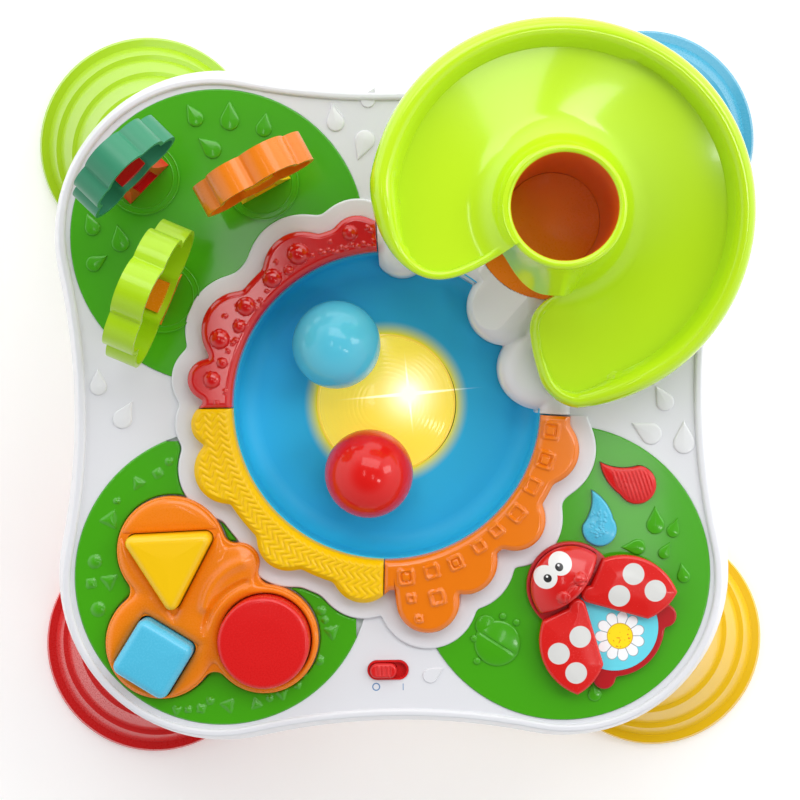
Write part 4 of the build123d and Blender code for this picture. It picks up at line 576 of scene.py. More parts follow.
RING_INNER = 84.3
RING_TOP = 312.0
RING_EDGE = 3.2
RED_LOBES = ((-16.7, 89.9, 14.2), (-47, 74.5, 21.3), (-80.8, 41.6, 21.9), (-99.2, 15.2, 11.4))
YELLOW_LOBES = ((-97, -9.4, 12), (-89, -34.3, 18.6), (-56.7, -73.1, 17), (-15.7, -91.2, 17))
ORANGE_LOBES = ((19.4, -107.7, 17.5), (39.9, -86.5, 18), (67.6, -63.9, 17), (84.5, -25.8, 19))
RING_R = 101.0
RING_CIRCLES = RED_LOBES + YELLOW_LOBES + ORANGE_LOBES + ((*BOWL, RING_R),)
RING_ENDS = (92.7, 356.0)

BUBBLES = ((-20.3, 94.0, 4.1), (-48.7, 83.1, 5.8), (-62.9, 69.9, 5.2), (-54.0, 74.1, 2.6), (-77.5, 54.9, 5.2),
           (-81.2, 44.1, 3.6), (-92.0, 37.3, 5.4), (-90.7, 24.3, 2.9), (-96.5, 15.2, 4.6), (-94.1, 2.6, 1.4),
           (-88.8, 49.8, 1.2), (-60.5, 78.9, 1.3), (-31.2, 89.4, 1.1))
FOAM = (
    (-36.5, 84.2), (-34.4, 82.9), (-32.2, 85.0), (-29.6, 84.1), (-27.4, 83.2), (-25.2, 86.2),
    (-22.6, 85.8), (-19.6, 87.5), (-16.5, 86.8), (-13.0, 88.2), (-10.0, 86.5), (-7.4, 89.5),
    (-10.8, 96.9), (-8.6, 95.1), (-40.9, 82.1), (-65.9, 63.0), (-69.9, 58.2), (-68.2, 55.6),
    (-71.7, 53.5), (-84.9, 35.0), (-83.2, 36.7), (-87.6, 30.7), (-89.3, 8.6),
)
FOAM_R = 1.25
BUBBLE_RISE = 0.62  # share of a bubble's radius
RIB_PITCH, RIB_HIGH = 4.1, 0.85
RIB_SWAY, SWAY_PITCH = 1.7, 7.5
FRAME_HIGH, FRAME_SUNK = 1.25, 1.1
FRAME_WALL, FRAME_SLOPE = 1.5, 0.9
# x, y, side of each raised square frame, with the side of the smaller one inside it
FRAMES = ((87.4, -15.0, 10.7, 5.4), (84.2, -31.0, 10.7, 5.4), (76.8, -45.0, 9.7, 0), (68.3, -59.9, 9.7, 0),
          (57.0, -69.0, 7.8, 0), (47.6, -77.6, 7.8, 0), (34.9, -86.2, 8.7, 4.4), (21.7, -90.8, 8.7, 0),
          (7.6, -93.6, 9.7, 4.8), (24.4, -105.0, 9.2, 0), (10.3, -105.3, 5.8, 0), (14.5, -116.5, 4.9, 0))


def bubbles(x, y):
    """Bosses of many sizes, like foam."""
    height = 0 * x
    for bx, by, radius in BUBBLES + tuple((*place, FOAM_R) for place in FOAM):
        height = np.maximum(height, dome(x, y, (bx, by), radius, BUBBLE_RISE * radius))
    return height


def ripples(x, y):
    """Wavy ribs across the ring: a wave along it, shifted to and fro as the radius grows."""
    radius = np.hypot(x - BOWL[0], y - BOWL[1])
    along = np.arctan2(y - BOWL[1], x - BOWL[0]) * 95
    sway = RIB_SWAY * np.sin(2 * pi * radius / SWAY_PITCH)
    return RIB_HIGH * np.abs(np.cos(pi * (along + sway) / RIB_PITCH)) ** 0.6


def frames(x, y):
    """Square frames turned to face the bowl, each a low rim round a lower middle."""
    height = 0 * x
    for fx, fy, side, inner in FRAMES:
        turn = atan2(fy - BOWL[1], fx - BOWL[0])
        along, across = leaning(x, y, (fx, fy), turn)
        reach = (np.abs(along) ** 6 + np.abs(across) ** 6) ** (1 / 6)
        rim = FRAME_HIGH * smooth((side / 2 - reach) / FRAME_SLOPE)
        rim = rim - FRAME_SUNK * smooth((side / 2 - FRAME_WALL - reach) / FRAME_SLOPE)
        height = np.maximum(height, rim)
        if inner:
            height = np.maximum(height, FRAME_HIGH * smooth((inner / 2 - reach) / 0.8))
    return height


def ring_part(name, start, end, finish, slot, relief):
    """A third of the ring.

    One parameter is the direction from the bowl's centre, the other runs out from the bowl to the lobes.
    """
    between = np.linspace(start + 0.35, end - 0.35, round((end - start) * 3.6))
    turn = np.radians(np.concatenate(([start], between, [end])))
    outer = lobe_reach(RING_CIRCLES, BOWL, turn) - 0.2
    share = steps((0, 0.14, 7), (0.14, 0.8, 40), (0.8, 1, 16))
    reach = RING_INNER + (outer[:, None] - RING_INNER) * share
    x, y = polar(BOWL, reach, turn[:, None])
    plan = np.dstack((x, y))
    side = np.minimum(depth_in(plan, plan[:, -1], closed=False), reach - RING_INNER)
    cut = reach * np.minimum(np.sin(turn - turn[0]), np.sin(turn[-1] - turn))[:, None]
    height = RING_TOP + np.minimum(eased(side, RING_EDGE), eased(cut, 0.8))
    height = height + (relief(x, y) + 0.6) * smooth((side - 1.0) / 2.6) * smooth((cut - 0.6) / 1.5)
    surface = skirted(np.dstack((x, y, height)), DECK + 0.4)
    return mould(name, [surface], finish, slot, replaces=(name[:-6],))


def build_ring():
    ring_part("ring_red_piece", 92.7, 179.8, ring_red, "red_plastic", bubbles)
    ring_part("ring_yellow_piece", 180.2, 268.2, ring_yellow, "yellow_plastic", ripples)
    ring_part("ring_orange_piece", 268.6, 355.8, ring_orange, "orange_plastic", frames)


# ---------------------------------------------------------------- border and clouds

BORDER = 9.75
BORDER_TOP = 302.3
BORDER_CIRCLES = tuple((x, y, radius + BORDER) for x, y, radius in RING_CIRCLES)
HEAD_ROOM = 23.8  # radius of the dip that lets the head be pressed
HEAD_DIP = 300.4
CLOUD_LOBES = ((7.5, 85.7, 15.4), (30.0, 91.0, 17.5), (64.8, 53.2, 21.6), (82.4, 18.6, 22.6))
CLOUD_TOP = 309.0
CLOUD_FOOT = 277.0
CLOUD_ENDS = (-3.7, 92.3)
BOWL_R = 83.6
EXIT_TURN = 228.0  # direction in which the ball leaves the tube
BALL_WAY = (46.0, 351.5)  # radius and middle height of the trough that the ball rolls in
CHUTE_R, CHUTE_TOP = 42.0, 304.0


def build_border():
    """The white band round the ring, with a dip under the ladybird's head.

    One parameter is the direction from the bowl, the other runs out from the ring.
    """
    turn = np.radians(np.linspace(*RING_ENDS, 1300))
    inner = lobe_reach(RING_CIRCLES, BOWL, turn) - 0.05
    outer = lobe_reach(BORDER_CIRCLES, BOWL, turn, soft=1.2)
    share = steps((0, 0.12, 5), (0.12, 0.8, 10), (0.8, 1, 9))
    reach = inner[:, None] + (outer - inner)[:, None] * share
    plan = np.dstack(polar(BOWL, reach, turn[:, None]))
    out = depth_in(plan, plan[:, -1], closed=False)
    into = depth_in(plan, plan[:, 0], closed=False)
    height = BORDER_TOP + np.minimum(eased(out, 1.3), eased(into, 0.7))
    under_head = np.hypot(plan[..., 0] - HEAD[0], plan[..., 1] - HEAD[1]) < HEAD_ROOM
    height = np.where(under_head, np.minimum(height, HEAD_DIP), height)
    mould("border_band", [skirted(np.dstack((plan, height)), DECK - 0.5)], deck_white, "white_shell")


def build_clouds():
    """Puffs round the bowl's far side.

    Over each point lies the highest of several pillows, cut down by the round trough that the ball rolls
    in and by the seat of the tube. One parameter is the direction from the bowl, the other runs outwards.
    """
    turn = np.radians(np.linspace(*CLOUD_ENDS, 420))
    outer = lobe_reach(CLOUD_LOBES + ((*BOWL, RING_R),), BOWL, turn)
    near = crossing(CLOUD_LOBES, BOWL, turn, -1, BOWL_R)
    inner = 0.2 - highest(-np.column_stack((near, np.full(len(turn), BOWL_R))), 1.0, 1)
    share = smooth(np.linspace(0, 1, 90)) * 0.6 + np.linspace(0, 1, 90) * 0.4
    reach = inner[:, None] + (outer - inner)[:, None] * share
    px, py = polar(BOWL, reach, turn[:, None])
    puff = [CLOUD_TOP + eased(r - np.hypot(px - cx, py - cy), 11.0) for cx, cy, r in CLOUD_LOBES]
    puff.append(CLOUD_TOP - 1.5 + eased(np.minimum(reach - BOWL_R, RING_R - reach), 8.0))
    height = np.minimum(highest(np.maximum(np.array(puff), DECK - 12), 0.6), CLOUD_TOP)
    ahead, aside = leaning(px, py, TUBE, radians(EXIT_TURN))
    trough = BALL_WAY[1] - np.sqrt(np.maximum(BALL_WAY[0] ** 2 - aside**2, 1.0))
    height = np.where(ahead > 0, np.minimum(height, trough), height)
    height = np.where(np.hypot(px - TUBE[0], py - TUBE[1]) < CHUTE_R, CHUTE_TOP, height)
    surface = skirted(np.dstack((px, py, height)), CLOUD_FOOT)
    mould("clouds", [surface], white, "white_shell", replaces=("cloud_rim",), crease=50)


# ---------------------------------------------------------------- slide

SLIDE = (TUBE[0] + 4.0, TUBE[1] - 1.0)
SLIDE_R = 100.4
SLIDE_FLOOR = (393.0, 323.0)
SLIDE_T = 2.6
FALL_START, FALL_TURN = 174.0, 286.0  # direction where the floor starts to fall, and how far round it falls
TONGUE_TURN, TONGUE_LONG = 170.0, 41.5
BEAD = (13.0, 13.4)  # width and height of the rolled rim
LIP = (4.0, 2.4)  # width and height of the tongue's lip
LOW_EDGE = 5.0  # radius of the low end's rolled edge
LOW_CORNERS = ((-20.5, -39.5), (-8.6, -100.3), (100, -100.3), (100, -39.5))
LOW_RADII = (18, 24, 1, 1)
TUBE_WALL = (26.2, 30.4)
TUBE_Z = (306.0, 405.0)
TUBE_EDGE = 2.0
EXIT_HALF = 25.5
EXIT_TOP = 358.0
FLARE_ENDS = (196.0, 312.0)
FLARE_TOP = 400.0
FLARE_T = 2.2


def slide_rim(turn):
    """Reach of the slide's outer edge from its centre: a circle, drawn in a little at the back."""
    return SLIDE_R - 3.6 * np.exp(-(((turn - 82.0) / 42.0) ** 2))


def slide_plan():
    """Plan of the slide.

    One parameter runs from the high end to the low end and the other from the tube's wall to the rim.
    The high end is a rounded tongue, a superellipse of reach and angle. The low end follows a line with
    two rounded corners. Both give the angle where the slide stops at each reach.
    """
    ends = 0.5 - 0.5 * np.cos(np.linspace(0, pi, 150))
    along = np.sort(np.concatenate((ends * 0.06, np.linspace(0.06, 0.94, 132)[1:-1], 0.94 + ends * 0.06)))
    rim = 1 - 0.16 * (1 - np.sin(np.linspace(0, pi / 2, 46)))
    across = np.concatenate((steps((0, 0.3, 20), (0.3, 0.84, 22)), rim[1:]))
    reach = 28.0 + (SLIDE_R - 28.0) * across
    high = TONGUE_TURN + TONGUE_LONG * np.clip(1 - (reach / (SLIDE_R + 0.01)) ** 6, 0, 1) ** 0.8
    line = rounded(LOW_CORNERS, LOW_RADII, 40)[:80]
    line = np.vstack(((-3.0, -28.0), (-3.0, -39.5), line))
    low = np.interp(reach, np.hypot(*line.T), np.degrees(np.arctan2(line[:, 1], line[:, 0])))
    turn = high + (low - high) * along[:, None]
    offset = np.radians(turn)
    shift = -4.0 * np.cos(offset) + np.sin(offset)
    inner = shift + np.sqrt(28.3**2 - 17.0 + shift**2)
    far = inner + (slide_rim(turn) - inner) * across
    return turn, np.dstack(polar(SLIDE, far, offset))


def slide_channel():
    """The channel as a height field over its plan, with an equal underside.

    The floor falls with the direction. A sweep rises to the tube's wall and a rolled bead, a superellipse
    of the depth, to the rim. The bead thins to a lip at the tongue and to a rolled-off edge at the low end.
    """
    turn, plan = slide_plan()
    fall = np.clip((FALL_START - turn) / FALL_TURN, 0, 1)
    fall = fall - 0.9 * np.sin(2 * pi * fall) / (2 * pi)
    floor = SLIDE_FLOOR[0] + (SLIDE_FLOOR[1] - SLIDE_FLOOR[0]) * fall
    edge = np.vstack((plan[0], plan[1:-1, -1], plan[-1, ::-1]))
    depth = depth_in(plan, edge, closed=False)
    out = np.hypot(plan[..., 0] - TUBE[0], plan[..., 1] - TUBE[1]) - TUBE_WALL[1]
    sweep = (8.0 + 8.0 * fall) * np.clip(1 - out / 19.0, 0, 1) ** 2 + 5.0 * np.exp(-np.maximum(out, 0) / 2.4)
    reach = np.hypot(plan[..., 0] - SLIDE[0], plan[..., 1] - SLIDE[1])
    full = smooth((203.0 - turn) / 30.0) * smooth((turn + 106.0) / 44.0) * smooth((reach - 62.0) / 20.0)
    low = smooth((-66.0 - turn) / 16.0) * (1 - full) ** 2
    width = LIP[0] + (BEAD[0] - LIP[0]) * full
    tall = LIP[1] * (1 - low) + (BEAD[1] - LIP[1]) * full
    bead = tall * np.clip(1 - np.abs(2 * depth / width - 1) ** 2.3, 0, 1) ** (1 / 2.3)
    bead = np.where(depth < width, bead, 0)
    heights = np.stack((sweep, bead + np.where(depth < width, 0.2, -9)))
    height = floor + highest(heights, 0.7) + low * eased(depth, LOW_EDGE)
    top = np.dstack((plan, height))
    top[0, :, 2] = floor[0] + 0.2
    top[:-1, -1, 2] = floor[:-1, -1]
    under = np.dstack((plan, height - SLIDE_T))
    return [top, under] + ends_between(top, under) + ends_between(top, under, 1)


def slide_tube():
    """The tube: its wall's profile carried round in two parts, which end higher over the ball's exit."""
    turns = np.linspace(pi, 0, 13)
    middle, half_wall = (TUBE_WALL[1] + TUBE_WALL[0]) / 2, (TUBE_WALL[1] - TUBE_WALL[0]) / 2
    round_top = [(middle - half_wall * cos(a), TUBE_Z[1] - TUBE_EDGE + TUBE_EDGE * sin(a)) for a in turns]
    radius, level = np.array([(TUBE_WALL[1], 0)] + round_top + [(TUBE_WALL[0], 0)]).T
    half = np.degrees(np.arcsin(EXIT_HALF / radius))
    walls = []
    for start, end, foot, count in ((-half, half, EXIT_TOP, 60), (half, 360 - half, TUBE_Z[0], 150)):
        spread = np.linspace(0, 1, count)[:, None]
        angle = np.radians(EXIT_TURN + start + (end - start) * spread)
        z = np.where(level > 0, level, foot) + 0 * angle
        walls.append(np.dstack((*polar(TUBE, radius, angle), z)))
        walls.append(walls[-1][:, [0, -1]])
    for side in (0, -1):
        jamb = walls[2][side, [0, -1]]
        lifted = jamb.copy()
        lifted[:, 2] = EXIT_TOP
        walls.append(np.stack((jamb, lifted)))
    return walls


def slide_flare():
    """The collar over the exit: the tube's outside spreads as it goes down, most to the right of the exit."""
    degree = np.linspace(*FLARE_ENDS, 100)[:, None]
    angle = np.radians(degree)
    drop = np.linspace(0, 1, 24)
    spread = (4.6 + 7.0 * smooth((degree - 215.0) / 45.0)) * smooth((degree - FLARE_ENDS[0]) / 16.0)
    spread = spread * (1 - 0.97 * smooth((degree - 275.0) / 36.0))
    outside = TUBE_WALL[1] - 0.2 + spread * drop**1.6
    fall = FLARE_TOP - (FLARE_TOP - EXIT_TOP + 30.0 * smooth((degree - 270.0) / 14.0)) * drop
    skins = [np.dstack((*polar(TUBE, r, angle), fall)) for r in (outside, outside - FLARE_T)]
    return skins + ends_between(*skins) + ends_between(*skins, 1)


def build_slide():
    """The channel, the tube and the collar as one piece."""
    grids = slide_channel() + slide_tube() + slide_flare()
    mould("slide_piece", grids, slide_lime, "lime_plastic", replaces=("slide",), crease=40)


# ---------------------------------------------------------------- sorter blocks

TRIANGLE, SQUARE, DISC = (-121.2, -83.6), (-130.8, -136.2), (-70.3, -128.0)
TRIANGLE_SIDE, TRIANGLE_TURN = 52.5, 2.2
SQUARE_HALF, SQUARE_TURN = 17.0, -32.0
DISC_R = 25.1
BLOCK_FOOT, BLOCK_TOP = 285.0, 317.0
PLATE_TOP = 305.6
PLATE_LOBES = ((-121.2, -78.4, 29.9), (-127.5, -129.2, 30.5), (-70.9, -127.6, 29.9), (-101.0, -106.0, 27.0),
               (-83.8, -85.6, 11.0))
PLATE_EDGE = 6.0  # how far in from an edge the plate's pillow rises
FOLD = ((-82.0, -85.0), (-97.0, -95.5), (-102.5, -109.0))


def turned_about(points, angle, place):
    """Points turned by an angle in degrees and carried to a place."""
    turn = radians(angle)
    points = np.array(points, float)
    x = points[:, 0] * cos(turn) - points[:, 1] * sin(turn)
    y = points[:, 0] * sin(turn) + points[:, 1] * cos(turn)
    return np.stack((x + place[0], y + place[1]), -1)


def build_blocks():
    """Three loose blocks: lids over rounded outlines, a little swollen in the middle."""
    reach = TRIANGLE_SIDE / sqrt(3)
    points = [(reach * cos(radians(a)), reach * sin(radians(a))) for a in (30, 150, 270)]
    corners = [(SQUARE_HALF * x, SQUARE_HALF * y) for x, y in ((1, 1), (-1, 1), (-1, -1), (1, -1))]
    triangle = divided(turned_about(rounded(points, 4.0), TRIANGLE_TURN, TRIANGLE), 0.9)
    square = divided(turned_about(rounded(corners, 5.0), SQUARE_TURN, SQUARE), 0.9)
    disc = arc(DISC, DISC_R, 0, 357, 120)
    for name, outline, centre, edge, finish, slot in (
        ("triangle", triangle, TRIANGLE, 4.2, yellow, "yellow_plastic"),
        ("square", square, SQUARE, 4.5, sky, "sky_blue"),
        ("disc", disc, DISC, 2.6, red, "red_plastic"),
    ):
        pillow = lambda x, y, depth: 0.5 * smooth(depth / 14) - 0.5
        shape = lid(outline, centre, BLOCK_FOOT, BLOCK_TOP, edge, pillow)
        mould(f"{name}_piece", [shape], finish, slot, f"{name} block", (f"block_{name}",))


def from_blocks(x, y):
    """Distances of plan points from the three holes, which leave a small gap round each block."""
    return np.stack((-depth_in_sides(x, y, TRIANGLE, (92.2, 212.2, 332.2), 15.8),
                     -depth_in_sides(x, y, SQUARE, (58.0, 148.0, 238.0, 328.0), SQUARE_HALF + 0.6),
                     np.hypot(x - DISC[0], y - DISC[1]) - DISC_R - 0.7))


def build_plate():
    """The sorter's sculpted top.

    It is a pillow that falls off at its outline and at the holes. A ridge follows the fold and fades
    away from it, and a groove lies at an even distance from the disc's hole.
    """
    def depth_of(x, y):
        return np.minimum(depth_in_lobes(x, y, PLATE_LOBES, 2.2) - 0.9, from_blocks(x, y).min(0))

    fold_line = bow(*FOLD, 40)

    def height_of(x, y, depth):
        edge = depth_in_lobes(x, y, PLATE_LOBES, 2.2) - 0.9
        hole = from_blocks(x, y).min(0)
        near = np.clip(0.4 - highest(np.stack((-edge, -hole)), 1.6), 0, depth)
        pillow = 2.6 * np.sqrt(1 - (1 - np.clip(near / PLATE_EDGE, 0, 1)) ** 2)
        away = depth_in(np.dstack((x, y)), fold_line, closed=False)
        from_disc = np.hypot(x - DISC[0], y - DISC[1]) - DISC_R - 0.7
        turn = np.degrees(np.arctan2(y - DISC[1], x - DISC[0])) % 360
        sector = smooth((turn - 95) / 14) * smooth((178 - turn) / 18)
        groove = 2.0 * np.exp(-(((from_disc - 7.4) / 2.0) ** 2)) * sector
        fold = 2.2 * np.exp(-((away / 3.4) ** 2))
        return PLATE_TOP - 0.3 + pillow + (fold - groove) * smooth(near / 4)

    low, high = (-160, -162), (-38, -46)
    skin("sorter_skin", low, high, 0.5, depth_of, height_of, PLATE_TOP - 0.8, orange, "orange_plastic")


PANEL_R = 81.5
PANEL = (-94.0, -94.0)
PANEL_TOP, PANEL_FOOT = 301.0, 299.0
PANEL_GAP = 0.5
# Number of sides, with 0 for a pebble, then x, y and size of each raised shape
PANEL_SHAPES = (
    (0, -122.4, -29.8, 2.2), (4, -128.7, -36.2, 3.1), (3, -139.8, -41.5, 2.9), (0, -151.5, -51.1, 1.7),
    (3, -155.4, -61.5, 4.0), (0, -164.0, -84.4, 3.7), (4, -166.3, -96.3, 3.3), (3, -156.2, -95.2, 3.7),
    (0, -162.5, -110.7, 4.0), (0, -39.7, -113.2, 2.6), (4, -37.6, -118.3, 2.2), (3, -34.0, -124.8, 3.3),
    (0, -41.0, -140.4, 2.6), (0, -49.9, -148.1, 1.7), (4, -53.2, -154.1, 2.2), (3, -62.0, -158.4, 2.9),
    (4, -68.5, -161.1, 2.0), (3, -76.1, -164.2, 2.6), (0, -101.6, -161.9, 2.2), (3, -91.5, -164.5, 3.3),
    (4, -106.6, -166.2, 2.9), (0, -113.6, -166.6, 2.0), (3, -120.0, -166.8, 2.2))


def build_sorter_panel():
    """The sorter's green panel: a corner disc bitten by the border, with raised shapes on it.

    Each shape's height is the square root of the depth in it, up to a flat top.
    """
    def depth_of(x, y):
        bitten = np.maximum(depth_in_lobes(x, y, BORDER_CIRCLES), depth_in_lobes(x, y, PLATE_LOBES, 2.2))
        return np.minimum(PANEL_R - np.hypot(x - PANEL[0], y - PANEL[1]), -bitten - PANEL_GAP)

    def height_of(x, y, depth):
        height = 0 * x
        for place, (sides, cx, cy, size) in enumerate(PANEL_SHAPES):
            if sides:
                turns = 31.0 * place + 360.0 / sides * np.arange(sides)
                inside = depth_in_sides(x, y, (cx, cy), turns, size * 0.8, 0.3)
            else:
                inside = size - np.hypot(x - cx, y - cy)
            height = np.maximum(height, 1.4 * np.sqrt(np.clip(inside / (0.8 * size), 0, 1)))
        return PANEL_TOP + eased(depth, 0.9) + height

    low, high = (-177, -177), (-20, -18)
    skin("sorter_panel_piece", low, high, 0.6, depth_of, height_of, PANEL_FOOT, green, "green_panel",
         ("sorter_panel",))


# ---------------------------------------------------------------- ladybird

BUG_TURN = -45.0
HEAD_R = 22.4
NECK_R = 41.0  # radius of the cut behind the head
NECK = 4.8  # how far behind the head's centre that cut lies
WING_POINTS = ((34.0, -4.7), (42.0, 4.0), (45.8, 13.7), (27.0, 26.0), (1.6, 20.3), (-1.0, 4.6))
WING_ROOT_R = 4.7
WINGS = (("right", (108.0, -105.0), -16.0, 1), ("left", (101.0, -112.0), -74.0, -1))
PIN_R = 3.0
PRESS_FOOT = 282.0
CHEEKS = ((102.0, -95.5), (93.1, -105.3))


def pin(place, foot, top, count=48):
    """A round pin, closed at both ends: a profile turned about its axis."""
    return turned(((0, foot), (PIN_R, foot), (PIN_R, top), (0, top)), place, count)


def wing_line(pivot, angle, side):
    """A wing's outline: a straight inner edge, a pointed tip and a full outer curve, about its pivot."""
    a, b, c, d, e, f = WING_POINTS
    outer = (bow(a, b, c, 12), bow(c, d, e, 40)[1:], (f,))
    shape = np.vstack((((0, -WING_ROOT_R),), *outer, arc((0, 0), WING_ROOT_R, 110, 270, 16)))
    shape[:, 1] *= side
    shape = turned_about(shape, angle, pivot)
    return divided(shape if side > 0 else shape[::-1], 0.6)


def build_ladybird():
    """Two domed wings, and a head that is a cap of a sphere cut off behind, with cheeks and a mouth."""
    for name, pivot, angle, side in WINGS:
        line = wing_line(pivot, angle, side)
        middle = turned_about(((22, 8 * side),), angle, pivot)[0]
        swell = lambda x, y, depth: 0.9 * smooth(depth / 11) - 0.5
        shape = lid(line, middle, 306.0, 311.0, 1.9, swell, 18)
        grids = [shape, pin(pivot, 292.0, 307.0)]
        mould(f"{name}_wing_piece", grids, wing_red, "red_plastic", f"{name} wing", (f"wing_{name}",))
    rear = turned_about(((NECK - NECK_R, 0),), BUG_TURN, HEAD)[0]
    turn = np.linspace(0, 2 * pi, 300, endpoint=False)
    reach = np.stack([lobe_reach(((*c, r),), HEAD, turn) for c, r in ((HEAD, HEAD_R), (rear, NECK_R))])
    line = np.stack(polar(HEAD, -highest(-reach, 0.6), turn), -1)

    def face(x, y, depth):
        cap = -((x - HEAD[0]) ** 2 + (y - HEAD[1]) ** 2) / 67.0
        cheeks = sum(dome(x, y, cheek, 3.6, 1.7) for cheek in CHEEKS)
        along, across = leaning(x, y, HEAD, radians(BUG_TURN))
        mouth = -0.7 * np.exp(-(((along + 1.2 - 0.06 * across**2) / 0.9) ** 2)) * (np.abs(across) < 8)
        return cap + cheeks + mouth

    shape = lid(line, HEAD, 304.0, 317.0, 2.2, face, 26)
    grids = [shape, pin((95.0, -98.0), PRESS_FOOT, 305.0)]
    mould("head_piece", grids, head_red, "red_plastic", "ladybird head", ("ladybird_head",))


# ---------------------------------------------------------------- buttons and reliefs


RED_DROP = (135.3, -46.0, 10.6, 115.2, -33.2, 2.4)
BLUE_DROP = (114.4, -70.2, 9.4, 110.2, -48.6, -2.4)
BUTTON_FOOT, BUTTON_TOP = 300.9, 304.5
RIB_LEAN, RIB_STEP = 18.0, 2.05
BEADS = 46
BEAD_MIDDLE = (113.6, -66.5)


def drop_line(x, y, radius, tip_x, tip_y, bend=0.0, step=0.4):
    """A round end drawn out to a tip: two straight or bent sides that touch a circle."""
    turn = degrees(atan2(tip_y - y, tip_x - x))
    reach = hypot(tip_x - x, tip_y - y)
    side = degrees(atan2(sqrt(reach**2 - radius**2), radius))
    back = arc((x, y), radius, turn + side, turn + 360 - side, 60)
    tip = np.array((tip_x, tip_y))
    if not bend:
        return divided(np.vstack((back, tip)), step)
    sag = np.array((cos(radians(turn + 90)), sin(radians(turn + 90)))) * bend
    away = bow(back[-1], (back[-1] + tip) / 2 + sag, tip)[1:]
    home = bow(tip, (tip + back[0]) / 2 + sag, back[0])[1:-1]
    return divided(np.vstack((back, away, home)), step)


def small_drop(x, y, radius, turn):
    """A straight-sided drop, twice as long as its radius from its middle to its tip."""
    reach = 2.1 * radius
    return drop_line(x, y, radius, x + reach * cos(radians(turn)), y + reach * sin(radians(turn)))


def build_buttons():
    """Two pressed drops: one with ribs across it, the other with a patch of tiny bubbles."""
    rng = np.random.default_rng(7)
    beads = rng.uniform((-4.2, -7.5), (4.2, 6.5), (BEADS, 2))
    sizes = rng.uniform(0.45, 0.95, BEADS)

    def ribs(x, y, depth):
        along, _ = leaning(x, y, RED_DROP, radians(RIB_LEAN))
        wave = 0.5 + 0.5 * np.cos(2 * pi * along / RIB_STEP)
        ribbed = smooth((depth - 1.3) / 1.6) * (along < 9) * (along > -11)
        return 1.0 * smooth(depth / 7) - 0.5 + 0.55 * wave * ribbed

    def foam(x, y, depth):
        patch = 0 * x
        for (bx, by), size in zip(beads + BEAD_MIDDLE, sizes):
            patch = np.maximum(patch, dome(x, y, (bx, by), size, 0.6 * size))
        return 1.0 * smooth(depth / 7) - 0.5 + patch

    for name, drop, relief, finish, slot in (
        ("red", RED_DROP, ribs, red, "red_plastic"),
        ("blue", BLUE_DROP, foam, sky, "sky_blue"),
    ):
        shape = lid(drop_line(*drop), drop[:2], BUTTON_FOOT, BUTTON_TOP, 1.4, relief, 34)
        grids = [shape, pin(drop[:2], PRESS_FOOT, 302.0)]
        mould(f"{name}_button_piece", grids, finish, slot, f"{name} button", (f"button_{name}",))


TREE_DROPS = ((-105.0, 159.1, 4.2, 120.0), (-86.2, 157.7, 5.0, 90.0), (-67.5, 153.0, 4.2, 80.0),
              (-95.9, 141.8, 4.6, 140.0), (-162.7, 99.7, 4.0, 110.0), (-147.4, 91.2, 4.6, 100.0),
              (-162.4, 79.8, 4.0, 30.0))
BUTTON_DROPS = ((145.3, -68.5, 4.7, 90.0), (135.3, -80.5, 4.1, 180.0), (155.0, -71.9, 3.4, 70.0),
                (149.9, -84.0, 3.2, 60.0), (160.5, -97.0, 3.4, 100.0), (110.5, -161.5, 3.4, 95.0))
DECK_DROPS = ((143.8, -18.3, 5.5, 150.0), (161.9, -23.6, 5.5, 90.0), (151.8, -0.8, 4.6, 120.0),
              (-148.0, -6.0, 5.0, 60.0), (-161.0, 12.0, 4.4, 90.0), (-28.0, 156.0, 4.6, 100.0),
              (-12.0, 146.0, 5.2, 250.0))


TREES = ((-134.4, 126.7), (-68.8, 123.0), (-124.2, 61.5))
TURNING_RINGS = (16.6, 19.6)
BEETLE = (57.3, -132.3)
BEETLE_R = 12.8
BEETLE_PARTS = ((51.0, -122.5, 5.8), (44.5, -129.5, 2.0), (60.5, -117.5, 2.0), (46.0, -142.0, 2.0),
                (68.0, -121.0, 2.0))


def build_drops():
    """Low drops moulded in the panels and the deck, swollen by the square root of their depth."""
    for name, drops, base, finish, slot in (
        ("tree_panel_drops", TREE_DROPS, PANEL_TOP, green, "green_panel"),
        ("button_panel_drops", BUTTON_DROPS, PANEL_TOP, green, "green_panel"),
        ("deck_drops", DECK_DROPS, DECK, white, "white_shell"),
    ):
        shapes = []
        for x, y, radius, turn in drops:
            line = small_drop(x, y, radius * 1.08, turn)
            swell = lambda px, py, depth: 0.75 * np.sqrt(np.clip(depth / radius, 0, 1)) - 0.2
            shapes.append(lid(line, (x, y), base - 0.5, base + 1.0, 0.8, swell, 10))
        mould(name, shapes, finish, slot)


def build_turning_rings():
    """Two round ridges under each tree: half circles turned about the tree's pin."""
    turns = np.linspace(-0.6, pi + 0.6, 10)
    ridges = []
    for tree in TREES:
        for r in TURNING_RINGS:
            ridges.append(turned([(r + 0.5 * cos(a), PANEL_TOP + 0.7 + 0.5 * sin(a)) for a in turns], tree))
    mould("turning_rings", ridges, green, "green_panel")


